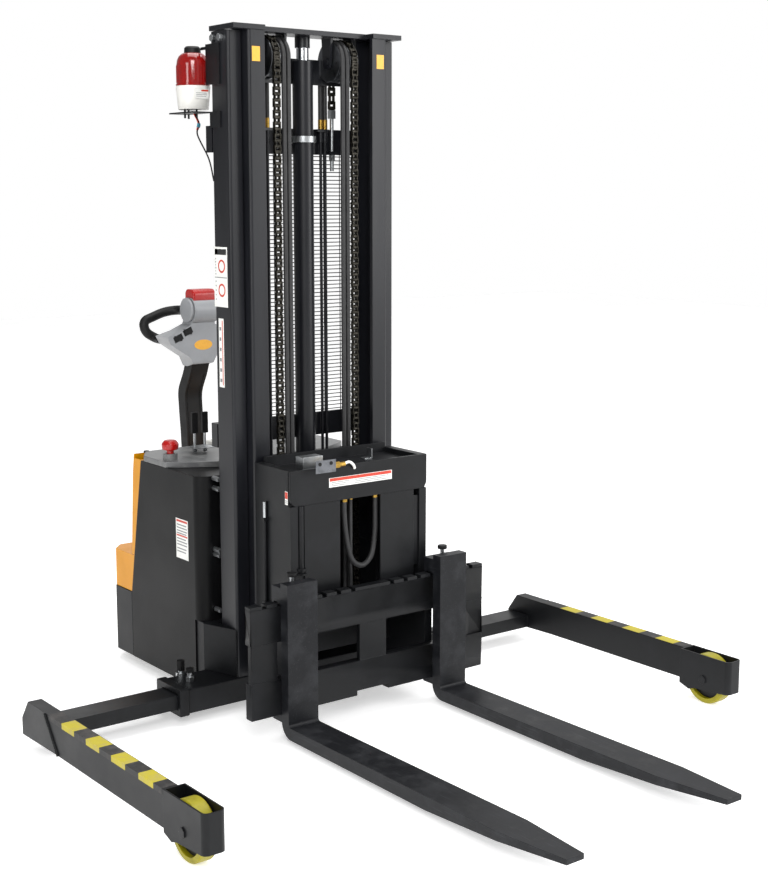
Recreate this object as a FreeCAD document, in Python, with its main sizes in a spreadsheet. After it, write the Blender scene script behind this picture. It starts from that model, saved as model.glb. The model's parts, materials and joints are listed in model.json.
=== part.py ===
"""Walkie stacker: adjustable straddle legs, two-stage mast, fork carriage and tiller.

Millimetres. +Z up, forks point along -Y, X = 0 is the centre plane. The origin is
on the floor, below the middle of the machine. Sizes along Y are set out from the front
face of the fork shanks, and each sub-part's Placement then moves it by origin_y.
"""
import FreeCAD, Part
import Sketcher
import math
import os

DOC = FreeCAD.newDocument("WalkieStacker")
SHEET = DOC.addObject("Spreadsheet::Sheet", "Sizes")
NODES = []
SIDES = (("left", -1), ("right", 1))


# ---------------------------------------------------------------- named sizes

class Size:
    """A length that carries its number and the spreadsheet formula behind it."""

    def __init__(self, number, formula):
        self.number = number
        self.formula = formula

    def __add__(self, other):
        return Size(self.number + number(other), f"({self.formula} + {formula(other)})")

    def __sub__(self, other):
        return Size(self.number - number(other), f"({self.formula} - {formula(other)})")

    def __mul__(self, other):
        return Size(self.number * number(other), f"({self.formula} * {formula(other)})")

    def __truediv__(self, other):
        return Size(self.number / number(other), f"({self.formula} / {formula(other)})")

    def __radd__(self, other):
        return Size(other + self.number, f"({formula(other)} + {self.formula})")

    def __rsub__(self, other):
        return Size(other - self.number, f"({formula(other)} - {self.formula})")

    def __neg__(self):
        return Size(-self.number, f"(0 - {self.formula})")

    __rmul__ = __mul__


def number(value):
    return value.number if isinstance(value, Size) else float(value)


def formula(value):
    return value.formula if isinstance(value, Size) else f"({float(value):.6g})"


class Sizes:
    """Every driving dimension, one spreadsheet row each."""

    def __init__(self):
        self.row = 0

    def add(self, **values):
        for alias, value in values.items():
            self.row += 1
            SHEET.set(f"A{self.row}", alias)
            SHEET.set(f"B{self.row}", str(value))
            SHEET.setAlias(f"B{self.row}", alias)
            setattr(self, alias, Size(float(value), f"Sizes.{alias}"))


s = Sizes()
# the frame's origin, measured back from the fork shanks' front face
s.add(origin_y=24)
# gaps between pieces
s.add(slide_gap=1.5, running_gap=0.05, loose_gap=2)
# leg sleeve across the front of the chassis
s.add(sleeve_half=486, sleeve_front=313, sleeve_depth=133, sleeve_low=32, mast_foot=105,
      collar_width=30, collar_proud=4)
# telescoping legs
s.add(tube_front=325, tube_depth=88, tube_low=48, tube_height=42, tube_wall=5, tube_overlap=181,
      leg_inner=860, leg_width=56, beam_width=40, leg_low=52, leg_top=149, leg_front=-373, leg_wall=6)
s.add(wheel_radius=75, wheel_width=44, hub_radius=50, wheel_y=-463, axle_radius=10,
      bracket_wall=5, bracket_front=-560, bracket_low=50)
# outer and inner mast channels
s.add(mast_top=1955, mast_half=287, mast_front=318, mast_depth=92, outer_flange=43,
      web=9, flange=12, mast_round=9, inner_half=240, inner_front=286, inner_flange=54, inner_foot=125)
s.add(head_plate=14, head_half=290, head_front=281, head_depth=129)
s.add(crossbar_y=432, crossbar_thick=10, high_bar_low=1626, high_bar_tall=74, mid_bar_low=780,
      mid_bar_tall=70, inner_bar_y=406, inner_bar_thick=5, inner_bar_low=1826, inner_bar_tall=72,
      inner_tie_tall=60)
# chains, sheaves and hoses over the mast head
s.add(chain_x=135, chain_width=21, chain_thick=12, sheave_y=364, sheave_z=1890, wrap_radius=57,
      sheave_axle=12, sheave_rim=58, rim_thick=4, anchor_z=1757, carriage_anchor=300,
      hose_radius=7, hose_near=94, hose_far=110)
# lift cylinder
s.add(cylinder_y=375, barrel_radius=30, barrel_bore=24, rod_radius=18, barrel_top=1890,
      clamp_low=1658, clamp_tall=18, cap_low=1925, cap_radius=22, piston_low=125, piston_tall=40)
# rollers
s.add(roller_radius=33, roller_width=30, stub_radius=12, mast_roller_z=175,
      carriage_roller_high=415, carriage_roller_low=200)
# fork carriage
s.add(bar_half=416, fork_gap=2.5, bar_thick=30, bar_low=79, low_bar_top=183, high_bar_bottom=292,
      bar_top=401, notch_first=70, notch_pitch=50, notch_width=14, notch_depth=10, centre_half=48,
      filler_inner=330, release_half=56, release_depth=14)
s.add(plate_half=243, plate_front=95, plate_thick=10, plate_low=648, plate_top=750, plate_round=22,
      post_width=26, post_rear=278, arm_inner=170, arm_thick=12, arm_rear=352, panel_inner=72,
      panel_outer=196, panel_low=376, panel_thick=5, shelf_z=735)
# forks
s.add(fork_x=270, fork_width=100, fork_thick=35, fork_length=1070, fork_low=17, fork_flat=600, shank_top=457,
      tip_half=27, tip_taper=210, tip_low=46, tip_top=60, hook_gap=1.5, hook_lip=10, hook_tall=42,
      heel_round=44, pin_radius=6, knob_radius=14)
# chassis and covers
s.add(body_half=330, body_front=446, body_low=35, frame_top=250, body_top=690, body_wall=4,
      frame_wall=6, edge_low_y=890, edge_high_y=806, body_round=40, skirt_rear=1045,
      skirt_corner=1000, skirt_cut=290, deck_top=708, hood_top=372, cover_top=704)
# drive, casters and tiller
s.add(steer_y=942, drive_radius=110, drive_width=72, table_radius=88, tiller_y=960, tiller_pivot_z=430,
      tiller_pin=8, bulge_half=105, bulge=25, caster_x=235, caster_y=925,
      caster_radius=60, caster_width=32, caster_trail=22)
s.add(arm_width=66, head_half_width=57, head_low=938, grip_radius=15.5, throttle_y=985,
      throttle_z=1135, throttle_radius=40)
# beacon
s.add(beacon_x=-300, beacon_y=486, beacon_low=1746, beacon_radius=48, dome_low=1812, dome_top=1905)


# ---------------------------------------------------------------- shape helpers

def bind(thing, prop, value):
    setattr(thing, prop, number(value))
    thing.setExpression(prop, formula(value))


def place(thing, at, turn=None):
    base = FreeCAD.Vector(*[number(value) for value in at])
    thing.Placement = FreeCAD.Placement(base, turn or FreeCAD.Rotation())
    for axis, value in zip("xyz", at):
        thing.setExpression(f"Placement.Base.{axis}", formula(value))
    return thing


TURN = {"X": FreeCAD.Rotation(FreeCAD.Vector(0, 1, 0), 90),
        "Y": FreeCAD.Rotation(FreeCAD.Vector(1, 0, 0), -90),
        "Z": FreeCAD.Rotation()}


def box(low, high):
    thing = DOC.addObject("Part::Box", "Box")
    for prop, start, end in zip(("Length", "Width", "Height"), low, high):
        bind(thing, prop, end - start)
    return place(thing, low)


def side_box(side, x_near, x_far, y_low, y_high, z_low, z_high):
    """A box between two distances from the centre plane, on the left (-1) or right (1)."""
    x_low, x_high = (x_near, x_far) if side > 0 else (-x_far, -x_near)
    return box((x_low, y_low, z_low), (x_high, y_high, z_high))


def drum(start, axis, length, radius):
    """A cylinder from its start point along +axis."""
    thing = DOC.addObject("Part::Cylinder", "Drum")
    bind(thing, "Radius", radius)
    bind(thing, "Height", length)
    return place(thing, start, TURN[axis])


def side_drum(side, x_near, x_far, y, z, radius):
    """A cylinder along X between two distances from the centre plane."""
    start = x_near if side > 0 else -x_far
    return drum((start, y, z), "X", x_far - x_near, radius)


def nut(start, axis, length, radius):
    thing = DOC.addObject("Part::Prism", "Hexagon")
    thing.Polygon = 6
    bind(thing, "Circumradius", radius)
    bind(thing, "Height", length)
    return place(thing, start, TURN[axis])


def fuse(*things):
    thing = DOC.addObject("Part::MultiFuse", "Fuse")
    thing.Shapes = list(things)
    thing.Refine = True
    return thing


def cut(base, *tools):
    thing = DOC.addObject("Part::Cut", "Cut")
    thing.Base = base
    thing.Tool = tools[0] if len(tools) == 1 else fuse(*tools)
    thing.Refine = True
    return thing


def common(first, second):
    thing = DOC.addObject("Part::Common", "Common")
    thing.Base = first
    thing.Tool = second
    return thing


def group(*things):
    """Separate solids that share one node."""
    thing = DOC.addObject("Part::Compound", "Group")
    thing.Links = list(things)
    return thing


def node(label, thing):
    """Name a finished sub-part and move it from the fork datum to the machine's origin."""
    engine = dict(thing.ExpressionEngine)
    before = next((text for path, text in engine.items() if path.endswith("Placement.Base.y")), "0")
    thing.Placement.Base.y -= s.origin_y.number
    thing.setExpression("Placement.Base.y", f"({before}) - Sizes.origin_y")
    thing.Label = label
    NODES.append(thing)
    return thing


def outline_sketch(body, plane, outline):
    """A closed sketch whose corners are each held by two driving distances."""
    sketch = body.newObject("Sketcher::SketchObject", "Outline")
    base = next(item for item in body.Origin.OriginFeatures if item.Role == f"{plane}_Plane")
    sketch.AttachmentSupport = (base, [""])
    sketch.MapMode = "FlatFace"
    count = len(outline)
    corners = [FreeCAD.Vector(number(u), number(v), 0) for u, v in outline]
    for index in range(count):
        sketch.addGeometry(Part.LineSegment(corners[index], corners[(index + 1) % count]), False)
    for index in range(count):
        sketch.addConstraint(Sketcher.Constraint("Coincident", index, 2, (index + 1) % count, 1))
    for index, corner in enumerate(outline):
        for kind, value in zip(("DistanceX", "DistanceY"), corner):
            added = sketch.addConstraint(Sketcher.Constraint(kind, -1, 1, index, 1, number(value)))
            sketch.setExpression(f"Constraints[{added}]", formula(value))
    return sketch


def prism(plane, outline, low, high, rounds=()):
    """An outline in the XY, XZ or YZ plane, extruded from low to high along the third axis.

    rounds holds (radius, corner numbers) for the edges that run along the extrusion.
    """
    body = DOC.addObject("PartDesign::Body", "Prism")
    sketch = outline_sketch(body, plane, outline)
    solid = body.newObject("PartDesign::Pad", "Pad")
    solid.Profile = sketch
    solid.Reversed = plane == "XZ"
    bind(solid, "Length", high - low)
    sketch.Visibility = False
    along = {"XY": 2, "XZ": 1, "YZ": 0}[plane]
    across = {"XY": (0, 1), "XZ": (0, 2), "YZ": (1, 2)}[plane]
    for radius, corners in rounds:
        DOC.recompute()
        wanted = [tuple(number(value) for value in outline[corner]) for corner in corners]
        names = []
        for index, edge in enumerate(solid.Shape.Edges):
            ends = [vertex.Point for vertex in edge.Vertexes]
            if len(ends) != 2 or abs(ends[0][along] - ends[1][along]) < 0.5 * number(high - low):
                continue
            spot = [ends[0][axis] for axis in across]
            if any(math.dist(spot, corner) < 0.01 for corner in wanted):
                names.append(f"Edge{index + 1}")
        rounded = body.newObject("PartDesign::Fillet", "Round")
        rounded.Base = (solid, names)
        bind(rounded, "Radius", radius)
        solid = rounded
    body.Tip = solid
    offset = [0, 0, 0]
    offset[along] = low
    return place(body, offset)


def turned(profile, at, axis="Z"):
    """A profile of (radius, height) corners, revolved about the axis through a point."""
    body = DOC.addObject("PartDesign::Body", "Turned")
    sketch = outline_sketch(body, "XZ", profile)
    solid = body.newObject("PartDesign::Revolution", "Revolution")
    solid.Profile = sketch
    solid.ReferenceAxis = (sketch, ["V_Axis"])
    solid.Angle = 360
    body.Tip = solid
    return place(body, at, TURN[axis])


def mirrored(side, outline):
    """An outline whose first coordinate is a distance from the centre plane."""
    return [(u * side, v) for u, v in outline]


def tube(title, points, radius):
    """A round bar along straight runs joined by tangent arcs as large as the runs allow."""
    spots = [FreeCAD.Vector(*[number(value) for value in point]) for point in points]
    edges = []
    bends = []
    start = spots[0]
    for before, corner, after in zip(spots, spots[1:], spots[2:]):
        back = (before - corner).normalize()
        ahead = (after - corner).normalize()
        reach = 0.45 * min((before - corner).Length, (after - corner).Length)
        first = corner + back * reach
        last = corner + ahead * reach
        half = math.acos(max(-1.0, min(1.0, back.dot(ahead)))) / 2
        middle = (back + ahead).normalize()
        centre = corner + middle * (reach / math.cos(half))
        top = centre - middle * (reach * math.tan(half))
        if (first - start).Length > 1e-6:
            edges.append(Part.LineSegment(start, first).toShape())
        edges.append(Part.Arc(first, top, last).toShape())
        bends.append(reach * math.tan(half))
        start = last
    edges.append(Part.LineSegment(start, spots[-1]).toShape())
    path = Part.Wire(edges)
    print(title, "length", round(path.Length), "mm, bends", [round(bend) for bend in bends], "mm")
    heading = edges[0].tangentAt(edges[0].FirstParameter)
    ring = Part.Wire([Part.Circle(spots[0], heading, number(radius)).toShape()])
    thing = DOC.addObject("Part::Feature", "Tube")
    thing.Shape = path.makePipeShell([ring], True, False)
    return thing


# ---------------------------------------------------------------- legs and sleeve

sleeve_rear = s.sleeve_front + s.sleeve_depth
tube_rear = s.tube_front + s.tube_depth
tube_top = s.tube_low + s.tube_height


def base_sleeve():
    """The wide cross tube that the two leg tubes slide in, with a collar at each end."""
    beam = box((-s.sleeve_half, s.sleeve_front, s.sleeve_low), (s.sleeve_half, sleeve_rear, s.mast_foot))
    collars = [side_box(side, s.sleeve_half - s.collar_width, s.sleeve_half,
                        s.sleeve_front - s.collar_proud, sleeve_rear + s.collar_proud,
                        s.sleeve_low - s.collar_proud, s.mast_foot + s.collar_proud)
               for _, side in SIDES]
    bore = box((-s.sleeve_half - 1, s.tube_front - s.slide_gap, s.tube_low - s.slide_gap),
               (s.sleeve_half + 1, tube_rear + s.slide_gap, tube_top + s.slide_gap))
    node("base_sleeve", cut(fuse(beam, *collars), bore))


def outrigger(name, side):
    """One leg: the tube that slides in the sleeve, the leg beam and the wheel bracket."""
    tube_inner = s.sleeve_half - s.tube_overlap
    leg_outer = s.leg_inner + s.leg_width
    beam_inner = leg_outer - s.beam_width
    slide = side_box(side, tube_inner, beam_inner, s.tube_front, tube_rear, s.tube_low, tube_top)
    hollow = side_box(side, tube_inner - 1, beam_inner - s.tube_wall, s.tube_front + s.tube_wall,
                      tube_rear - s.tube_wall, s.tube_low + s.tube_wall, tube_top - s.tube_wall)
    rear = tube_rear + 11
    profile = [(s.leg_front, s.leg_low), (s.tube_front - 115, s.leg_low - 2), (rear, s.tube_low - 4),
               (rear, tube_top + 2), (tube_rear - 32, s.leg_top), (s.leg_front, s.leg_top)]
    x_low, x_high = (beam_inner, leg_outer) if side > 0 else (-leg_outer, -beam_inner)
    beam = prism("YZ", profile, x_low, x_high)
    inside = box((x_low + s.leg_wall, s.leg_front - 1, s.leg_low + s.leg_wall),
                 (x_high - s.leg_wall, s.tube_front - 120, s.leg_top - s.leg_wall))
    proud = 2
    plan = [(s.leg_inner - proud, s.leg_front), (s.leg_inner - proud, s.bracket_front),
            (leg_outer + proud, s.bracket_front), (leg_outer + proud, s.leg_front)]
    edge = s.bracket_wall
    room = [(s.leg_inner - proud + edge, s.leg_front - edge),
            (s.leg_inner - proud + edge, s.bracket_front + edge),
            (leg_outer + proud - edge, s.bracket_front + edge),
            (leg_outer + proud - edge, s.leg_front - edge)]
    shell = prism("XY", mirrored(side, plan), s.bracket_low - 20, s.leg_top + 1, [(16, (1, 2))])
    space = prism("XY", mirrored(side, room), s.bracket_low - 21, s.leg_top + 2, [(11, (1, 2))])
    below = [(s.leg_front + 1, s.bracket_low - 30), (s.leg_front + 1, s.bracket_low - 6),
             (s.leg_front - 36, s.bracket_low - 18), (s.leg_front - 60, s.bracket_low - 10),
             (s.bracket_front - 1, s.bracket_low), (s.bracket_front - 1, s.bracket_low - 30)]
    under = prism("YZ", below, -leg_outer - 5, 5 - s.leg_inner) if side < 0 else prism(
        "YZ", below, s.leg_inner - 5, leg_outer + 5)
    bracket = cut(shell, space, under)
    node(f"outrigger_{name}", fuse(cut(slide, hollow), cut(beam, inside), bracket, load_axle(side)))


def load_axle(side):
    leg_outer = s.leg_inner + s.leg_width
    shank = side_drum(side, s.leg_inner - 3, leg_outer + 3, s.wheel_y, s.wheel_radius, s.axle_radius)
    inner = nut((s.leg_inner - 6 if side > 0 else -s.leg_inner + 2, s.wheel_y, s.wheel_radius),
                "X", 4, s.axle_radius * 1.4)
    outer = nut((leg_outer + 2 if side > 0 else -leg_outer - 6, s.wheel_y, s.wheel_radius),
                "X", 4, s.axle_radius * 1.4)
    return fuse(shank, inner, outer)


def load_wheel(side):
    """A polyurethane tread on a hub that turns on the leg's axle."""
    middle = s.leg_inner + s.leg_width / 2
    half = s.wheel_width / 2
    hub_half = half + 2
    bore = side_drum(side, middle - half - 4, middle + half + 4, s.wheel_y, s.wheel_radius,
                     s.axle_radius + s.running_gap)
    hub = cut(side_drum(side, middle - hub_half, middle + hub_half, s.wheel_y, s.wheel_radius,
                        s.hub_radius), bore)
    core = side_drum(side, middle - half - 4, middle + half + 4, s.wheel_y, s.wheel_radius,
                     s.hub_radius)
    tread = cut(side_drum(side, middle - half, middle + half, s.wheel_y, s.wheel_radius,
                          s.wheel_radius), core)
    return group(hub, tread)


# ---------------------------------------------------------------- mast

mast_rear = s.mast_front + s.mast_depth
inner_rear = s.inner_front + s.mast_depth
head_low = s.mast_top + s.loose_gap


def channel(side, outer, flange_depth, front, low, high):
    """A rolled channel whose open side faces the centre plane."""
    tip = outer - flange_depth
    rear = front + s.mast_depth
    outline = [(outer, front), (tip, front), (tip, front + s.flange), (outer - s.web, front + s.flange),
               (outer - s.web, rear - s.flange), (tip, rear - s.flange), (tip, rear), (outer, rear)]
    return prism("XY", mirrored(side, outline), low, high, [(s.mast_round, (0, 7))])


def hat_bar(half, inner, front, bar_front, bar_rear, low, high):
    """A crossbar behind the channels, with a leg forward to each of them."""
    outline = [(-half, front), (-inner, front), (-inner, bar_front), (inner, bar_front),
               (inner, front), (half, front), (half, bar_rear), (-half, bar_rear)]
    return prism("XY", outline, low, high)


def outer_mast():
    tip = s.mast_half - s.outer_flange
    bar_rear = s.crossbar_y + s.crossbar_thick
    channels = [channel(side, s.mast_half, s.outer_flange, s.mast_front, s.mast_foot, s.mast_top)
                for _, side in SIDES]
    high_top = s.high_bar_low + s.high_bar_tall
    high = hat_bar(s.mast_half, tip, mast_rear, s.crossbar_y, bar_rear, s.high_bar_low, high_top)
    middle = hat_bar(s.mast_half, tip, mast_rear, s.crossbar_y, bar_rear, s.mid_bar_low,
                     s.mid_bar_low + s.mid_bar_tall)
    extras = []
    holes = []
    for _, side in SIDES:
        extras.append(side_box(side, s.hose_near - 16, s.hose_far + 10, s.inner_bar_y + 6.5,
                               s.crossbar_y, high_top - 8, high_top))
        extras.append(side_box(side, s.chain_x - 13, s.chain_x + 13, s.inner_bar_y + 6.5,
                               s.crossbar_y, s.high_bar_low, s.high_bar_low + 10))
        holes.append(drum((s.chain_x * side, s.sheave_y + s.wrap_radius, s.high_bar_low - 1), "Z",
                          12, 6.5))
        for x in (s.hose_near, s.hose_far):
            holes.append(drum((x * side, s.sheave_y + s.wrap_radius, high_top - 9), "Z", 10, 4.6))
    node("outer_mast_frame", group(*channels, cut(fuse(high, *extras), *holes), middle))


def mesh_guard():
    """Welded mesh behind the mast opening: flat lattice with its selvage wires."""
    low = number(s.mid_bar_low + s.mid_bar_tall) - 8
    high = number(s.high_bar_low) + 8
    half = number(s.mast_half - s.outer_flange) - 4
    front = number(s.crossbar_y + s.crossbar_thick)
    wire, columns = 2.5, 6
    rows = int((high - low) / 11.5)
    pitch_x = (2 * half - wire) / columns
    pitch_z = (high - low - wire) / rows

    def loop(x0, x1, z0, z1):
        corners = [(x0, z0), (x1, z0), (x1, z1), (x0, z1), (x0, z0)]
        return Part.makePolygon([FreeCAD.Vector(x, front, z) for x, z in corners])

    wires = [loop(-half, half, low, high)]
    for column in range(columns):
        for row in range(rows):
            x0 = -half + wire + column * pitch_x
            z0 = low + wire + row * pitch_z
            wires.append(loop(x0, x0 + pitch_x - wire, z0, z0 + pitch_z - wire))
    thing = DOC.addObject("Part::Feature", "Lattice")
    lattice = Part.makeFace(wires, "Part::FaceMakerBullseye")
    thing.Shape = lattice.extrude(FreeCAD.Vector(0, wire, 0))
    node("mesh_guard", thing)


def lift_cylinder():
    barrel = drum((0, s.cylinder_y, s.mast_foot), "Z", s.barrel_top - s.mast_foot, s.barrel_radius)
    bore = drum((0, s.cylinder_y, s.mast_foot + 12), "Z", s.barrel_top - 20 - (s.mast_foot + 12),
                s.barrel_bore)
    gland = drum((0, s.cylinder_y, s.barrel_top - 40), "Z", 60, s.rod_radius + s.running_gap)
    node("cylinder_barrel", cut(barrel, bore, gland))
    ring = drum((0, s.cylinder_y, s.clamp_low), "Z", s.clamp_tall, s.barrel_radius + 8)
    lug = box((-20, s.cylinder_y, s.clamp_low), (20, s.crossbar_y, s.clamp_low + s.clamp_tall))
    hole = drum((0, s.cylinder_y, s.clamp_low - 1), "Z", s.clamp_tall + 2, s.barrel_radius + 0.2)
    node("cylinder_clamp", cut(fuse(ring, lug), hole))
    piston = drum((0, s.cylinder_y, s.piston_low), "Z", s.piston_tall, s.barrel_bore - s.running_gap)
    rod = drum((0, s.cylinder_y, s.piston_low), "Z", s.cap_low - s.piston_low, s.rod_radius)
    cap = drum((0, s.cylinder_y, s.cap_low), "Z", head_low - s.cap_low, s.cap_radius)
    node("cylinder_rod", fuse(piston, rod, cap))


def inner_mast():
    tip = s.inner_half - s.inner_flange
    bar_rear = s.inner_bar_y + s.inner_bar_thick
    pieces = []
    for _, side in SIDES:
        rail = channel(side, s.inner_half, s.inner_flange, s.inner_front, s.inner_foot, head_low)
        stub = side_drum(side, s.inner_half - 2, s.inner_half + s.roller_width + 4, s.sheave_y,
                         s.mast_roller_z, s.stub_radius)
        pieces.append(fuse(rail, stub))
    top = s.inner_bar_low + s.inner_bar_tall
    high = hat_bar(s.inner_half, tip, inner_rear, s.inner_bar_y, bar_rear, s.inner_bar_low, top)
    slots = [side_box(side, s.hose_near - 12, s.chain_x + 18, s.inner_bar_y - 1, bar_rear + 1,
                      s.inner_bar_low + 20, top + 1) for _, side in SIDES]
    low = hat_bar(s.inner_half, tip, inner_rear, s.inner_bar_y, bar_rear, s.inner_foot,
                  s.inner_foot + s.inner_tie_tall)
    node("inner_mast_frame", group(*pieces, cut(high, *slots), low))


def mast_head():
    """The beam across the inner channels, with the plates that carry the sheave axles."""
    tip = s.inner_half - s.inner_flange
    rear = s.head_front + s.head_depth
    beam_front = s.head_front + 34
    beam_rear = rear - 10
    half = [(s.head_half, s.head_front), (tip, s.head_front), (tip, beam_front)]
    right = half + [(-u, v) for u, v in reversed(half)]
    back = [(-s.head_half, rear), (-tip, rear), (-tip, beam_rear), (tip, beam_rear), (tip, rear),
            (s.head_half, rear)]
    beam = prism("XY", right + back, head_low, head_low + s.head_plate)
    plates = []
    axles = []
    lug = [(s.sheave_y - 16, s.sheave_z - 20), (s.sheave_y + 16, s.sheave_z - 20),
           (s.sheave_y + 24, head_low), (s.sheave_y - 24, head_low)]
    near = s.hose_near - 10
    far = s.chain_x + s.chain_width / 2 + s.rim_thick + s.loose_gap
    for _, side in SIDES:
        for inner, outer in ((near - 8, near), (far, far + 8)):
            x_low, x_high = (inner, outer) if side > 0 else (-outer, -inner)
            plates.append(prism("YZ", lug, x_low, x_high, [(14, (0, 1))]))
        axles.append(side_drum(side, near - 12, far + 12, s.sheave_y, s.sheave_z, s.sheave_axle))
    node("mast_head_beam", fuse(beam, *plates, *axles))


def sheaves():
    """A chain sheave and a twin hose pulley on each head axle."""
    pieces = []
    half = s.chain_width / 2 + 0.3
    chain_core = s.wrap_radius - s.chain_thick / 2 - 0.4
    hose_core = s.wrap_radius - s.hose_radius - 0.3
    for _, side in SIDES:
        rims = [side_drum(side, start, start + s.rim_thick, s.sheave_y, s.sheave_z, s.sheave_rim)
                for start in (s.chain_x - half - s.rim_thick, s.chain_x + half)]
        core = side_drum(side, s.chain_x - half - 1, s.chain_x + half + 1, s.sheave_y, s.sheave_z,
                         chain_core)
        bore = side_drum(side, s.chain_x - 20, s.chain_x + 20, s.sheave_y, s.sheave_z,
                         s.sheave_axle + s.running_gap)
        pieces.append(cut(fuse(core, *rims), bore))
        pulley_near = s.hose_near - s.hose_radius - 1.5
        pulley_far = s.hose_far + s.hose_radius + 1.5
        middle = (s.hose_near + s.hose_far) / 2
        rims = [side_drum(side, start, start + 1, s.sheave_y, s.sheave_z, s.wrap_radius)
                for start in (pulley_near, middle - 0.5, pulley_far - 1)]
        core = side_drum(side, pulley_near, pulley_far, s.sheave_y, s.sheave_z, hose_core)
        bore = side_drum(side, pulley_near - 1, pulley_far + 1, s.sheave_y, s.sheave_z,
                         s.sheave_axle + s.running_gap)
        pieces.append(cut(fuse(core, *rims), bore))
    node("head_sheaves", group(*pieces))


def chains():
    """Each lift chain: front run and wrap on the mast head, rear run down to its anchor."""
    inner = s.wrap_radius - s.chain_thick / 2
    outer = s.wrap_radius + s.chain_thick / 2
    fronts = []
    rears = []
    for _, side in SIDES:
        near = s.chain_x - s.chain_width / 2
        far = s.chain_x + s.chain_width / 2
        disc = side_drum(side, near, far, s.sheave_y, s.sheave_z, outer)
        core = side_drum(side, near - 1, far + 1, s.sheave_y, s.sheave_z, inner)
        lower = side_box(side, near - 1, far + 1, s.sheave_y - outer - 1, s.sheave_y + outer + 1,
                         s.sheave_z - outer - 1, s.sheave_z)
        run = side_box(side, near, far, s.sheave_y - outer, s.sheave_y - inner,
                       s.carriage_anchor, s.sheave_z)
        fronts.append(fuse(cut(disc, core, lower), run))
        rears.append(side_box(side, near, far, s.sheave_y + inner, s.sheave_y + outer,
                              s.anchor_z, s.sheave_z))
    node("front_chains", group(*fronts))
    node("rear_chains", group(*rears))


def mast_hoses():
    """Twin hoses that follow the chains over the mast head."""
    fronts = []
    rears = []
    ferrule_top = s.high_bar_low + s.high_bar_tall + 28
    for _, side in SIDES:
        for x in (s.hose_near, s.hose_far):
            column = number(x) * side
            y_front = number(s.sheave_y - s.wrap_radius)
            y_rear = number(s.sheave_y + s.wrap_radius)
            top = number(s.sheave_z)
            foot = FreeCAD.Vector(column, y_front, number(s.carriage_anchor))
            bend = FreeCAD.Vector(column, y_front, top)
            crown = FreeCAD.Vector(column, number(s.sheave_y), top + number(s.wrap_radius))
            end = FreeCAD.Vector(column, y_rear, top)
            path = Part.Wire([Part.LineSegment(foot, bend).toShape(), Part.Arc(bend, crown, end).toShape()])
            ring = Part.Wire([Part.Circle(foot, FreeCAD.Vector(0, 0, 1), number(s.hose_radius)).toShape()])
            thing = DOC.addObject("Part::Feature", "Hose")
            thing.Shape = path.makePipeShell([ring], True, False)
            fronts.append(thing)
            rears.append(drum((x * side, s.sheave_y + s.wrap_radius, ferrule_top), "Z",
                              s.sheave_z - ferrule_top, s.hose_radius))
    node("front_hoses", group(*fronts))
    node("rear_hoses", group(*rears))


def mast_fittings():
    """Chain anchors, hose ferrules and the steel pipes below them, on the high crossbar."""
    pieces = []
    line = s.sheave_y + s.wrap_radius
    bar_top = s.high_bar_low + s.high_bar_tall
    for _, side in SIDES:
        x = s.chain_x * side
        clevis = side_box(side, s.chain_x - 9, s.chain_x + 9, line - 8, line + 8, s.anchor_z - 25, s.anchor_z)
        stud = drum((x, line, s.high_bar_low - 48), "Z", s.anchor_z - 20 - (s.high_bar_low - 48), 6)
        lock = nut((x, line, s.high_bar_low - 18), "Z", 18, 10)
        pieces.append(fuse(clevis, stud, lock))
        for hose_x in (s.hose_near, s.hose_far):
            ferrule = drum((hose_x * side, line, bar_top), "Z", 28, 7.5)
            pipe = drum((hose_x * side, line, s.mast_foot), "Z", bar_top + 5 - s.mast_foot, 4.5)
            union = drum((hose_x * side, line, bar_top - 38), "Z", 30, 7.5)
            pieces.append(fuse(ferrule, pipe, union))
    node("mast_fittings", group(*pieces))


def roller_pair(label, near, y, z):
    pieces = []
    for _, side in SIDES:
        wheel = side_drum(side, near, near + s.roller_width, y, z, s.roller_radius)
        bore = side_drum(side, near - 1, near + s.roller_width + 1, y, z, s.stub_radius + s.running_gap)
        pieces.append(cut(wheel, bore))
    node(label, group(*pieces))


# ---------------------------------------------------------------- carriage and forks

bar_front = s.fork_thick + s.fork_gap
bar_rear = bar_front + s.bar_thick
hook_rear = bar_rear + s.hook_gap + s.hook_lip
pin_y = bar_front + s.bar_thick / 2
carriage_roller_near = s.arm_inner + s.arm_thick + 4
carriage_roller_y = s.inner_front + s.mast_depth / 2


def teeth():
    """The strip between the notches, block by block, so that each notch the pins drop into stays open."""
    low = s.bar_top - s.notch_depth
    half_notch = s.notch_width / 2
    count = int((number(s.bar_half) - number(s.notch_first) - 10) / number(s.notch_pitch))
    middle = s.notch_first - half_notch
    blocks = [box((-middle, bar_front, low), (middle, bar_rear, s.bar_top))]
    for _, side in SIDES:
        for index in range(count):
            start = s.notch_first + s.notch_pitch * index + half_notch
            blocks.append(side_box(side, start, start + s.notch_pitch - s.notch_width, bar_front, bar_rear,
                                   low, s.bar_top))
        last = s.notch_first + s.notch_pitch * count + half_notch
        blocks.append(side_box(side, last, s.bar_half, bar_front, bar_rear, low, s.bar_top))
    return blocks


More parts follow.
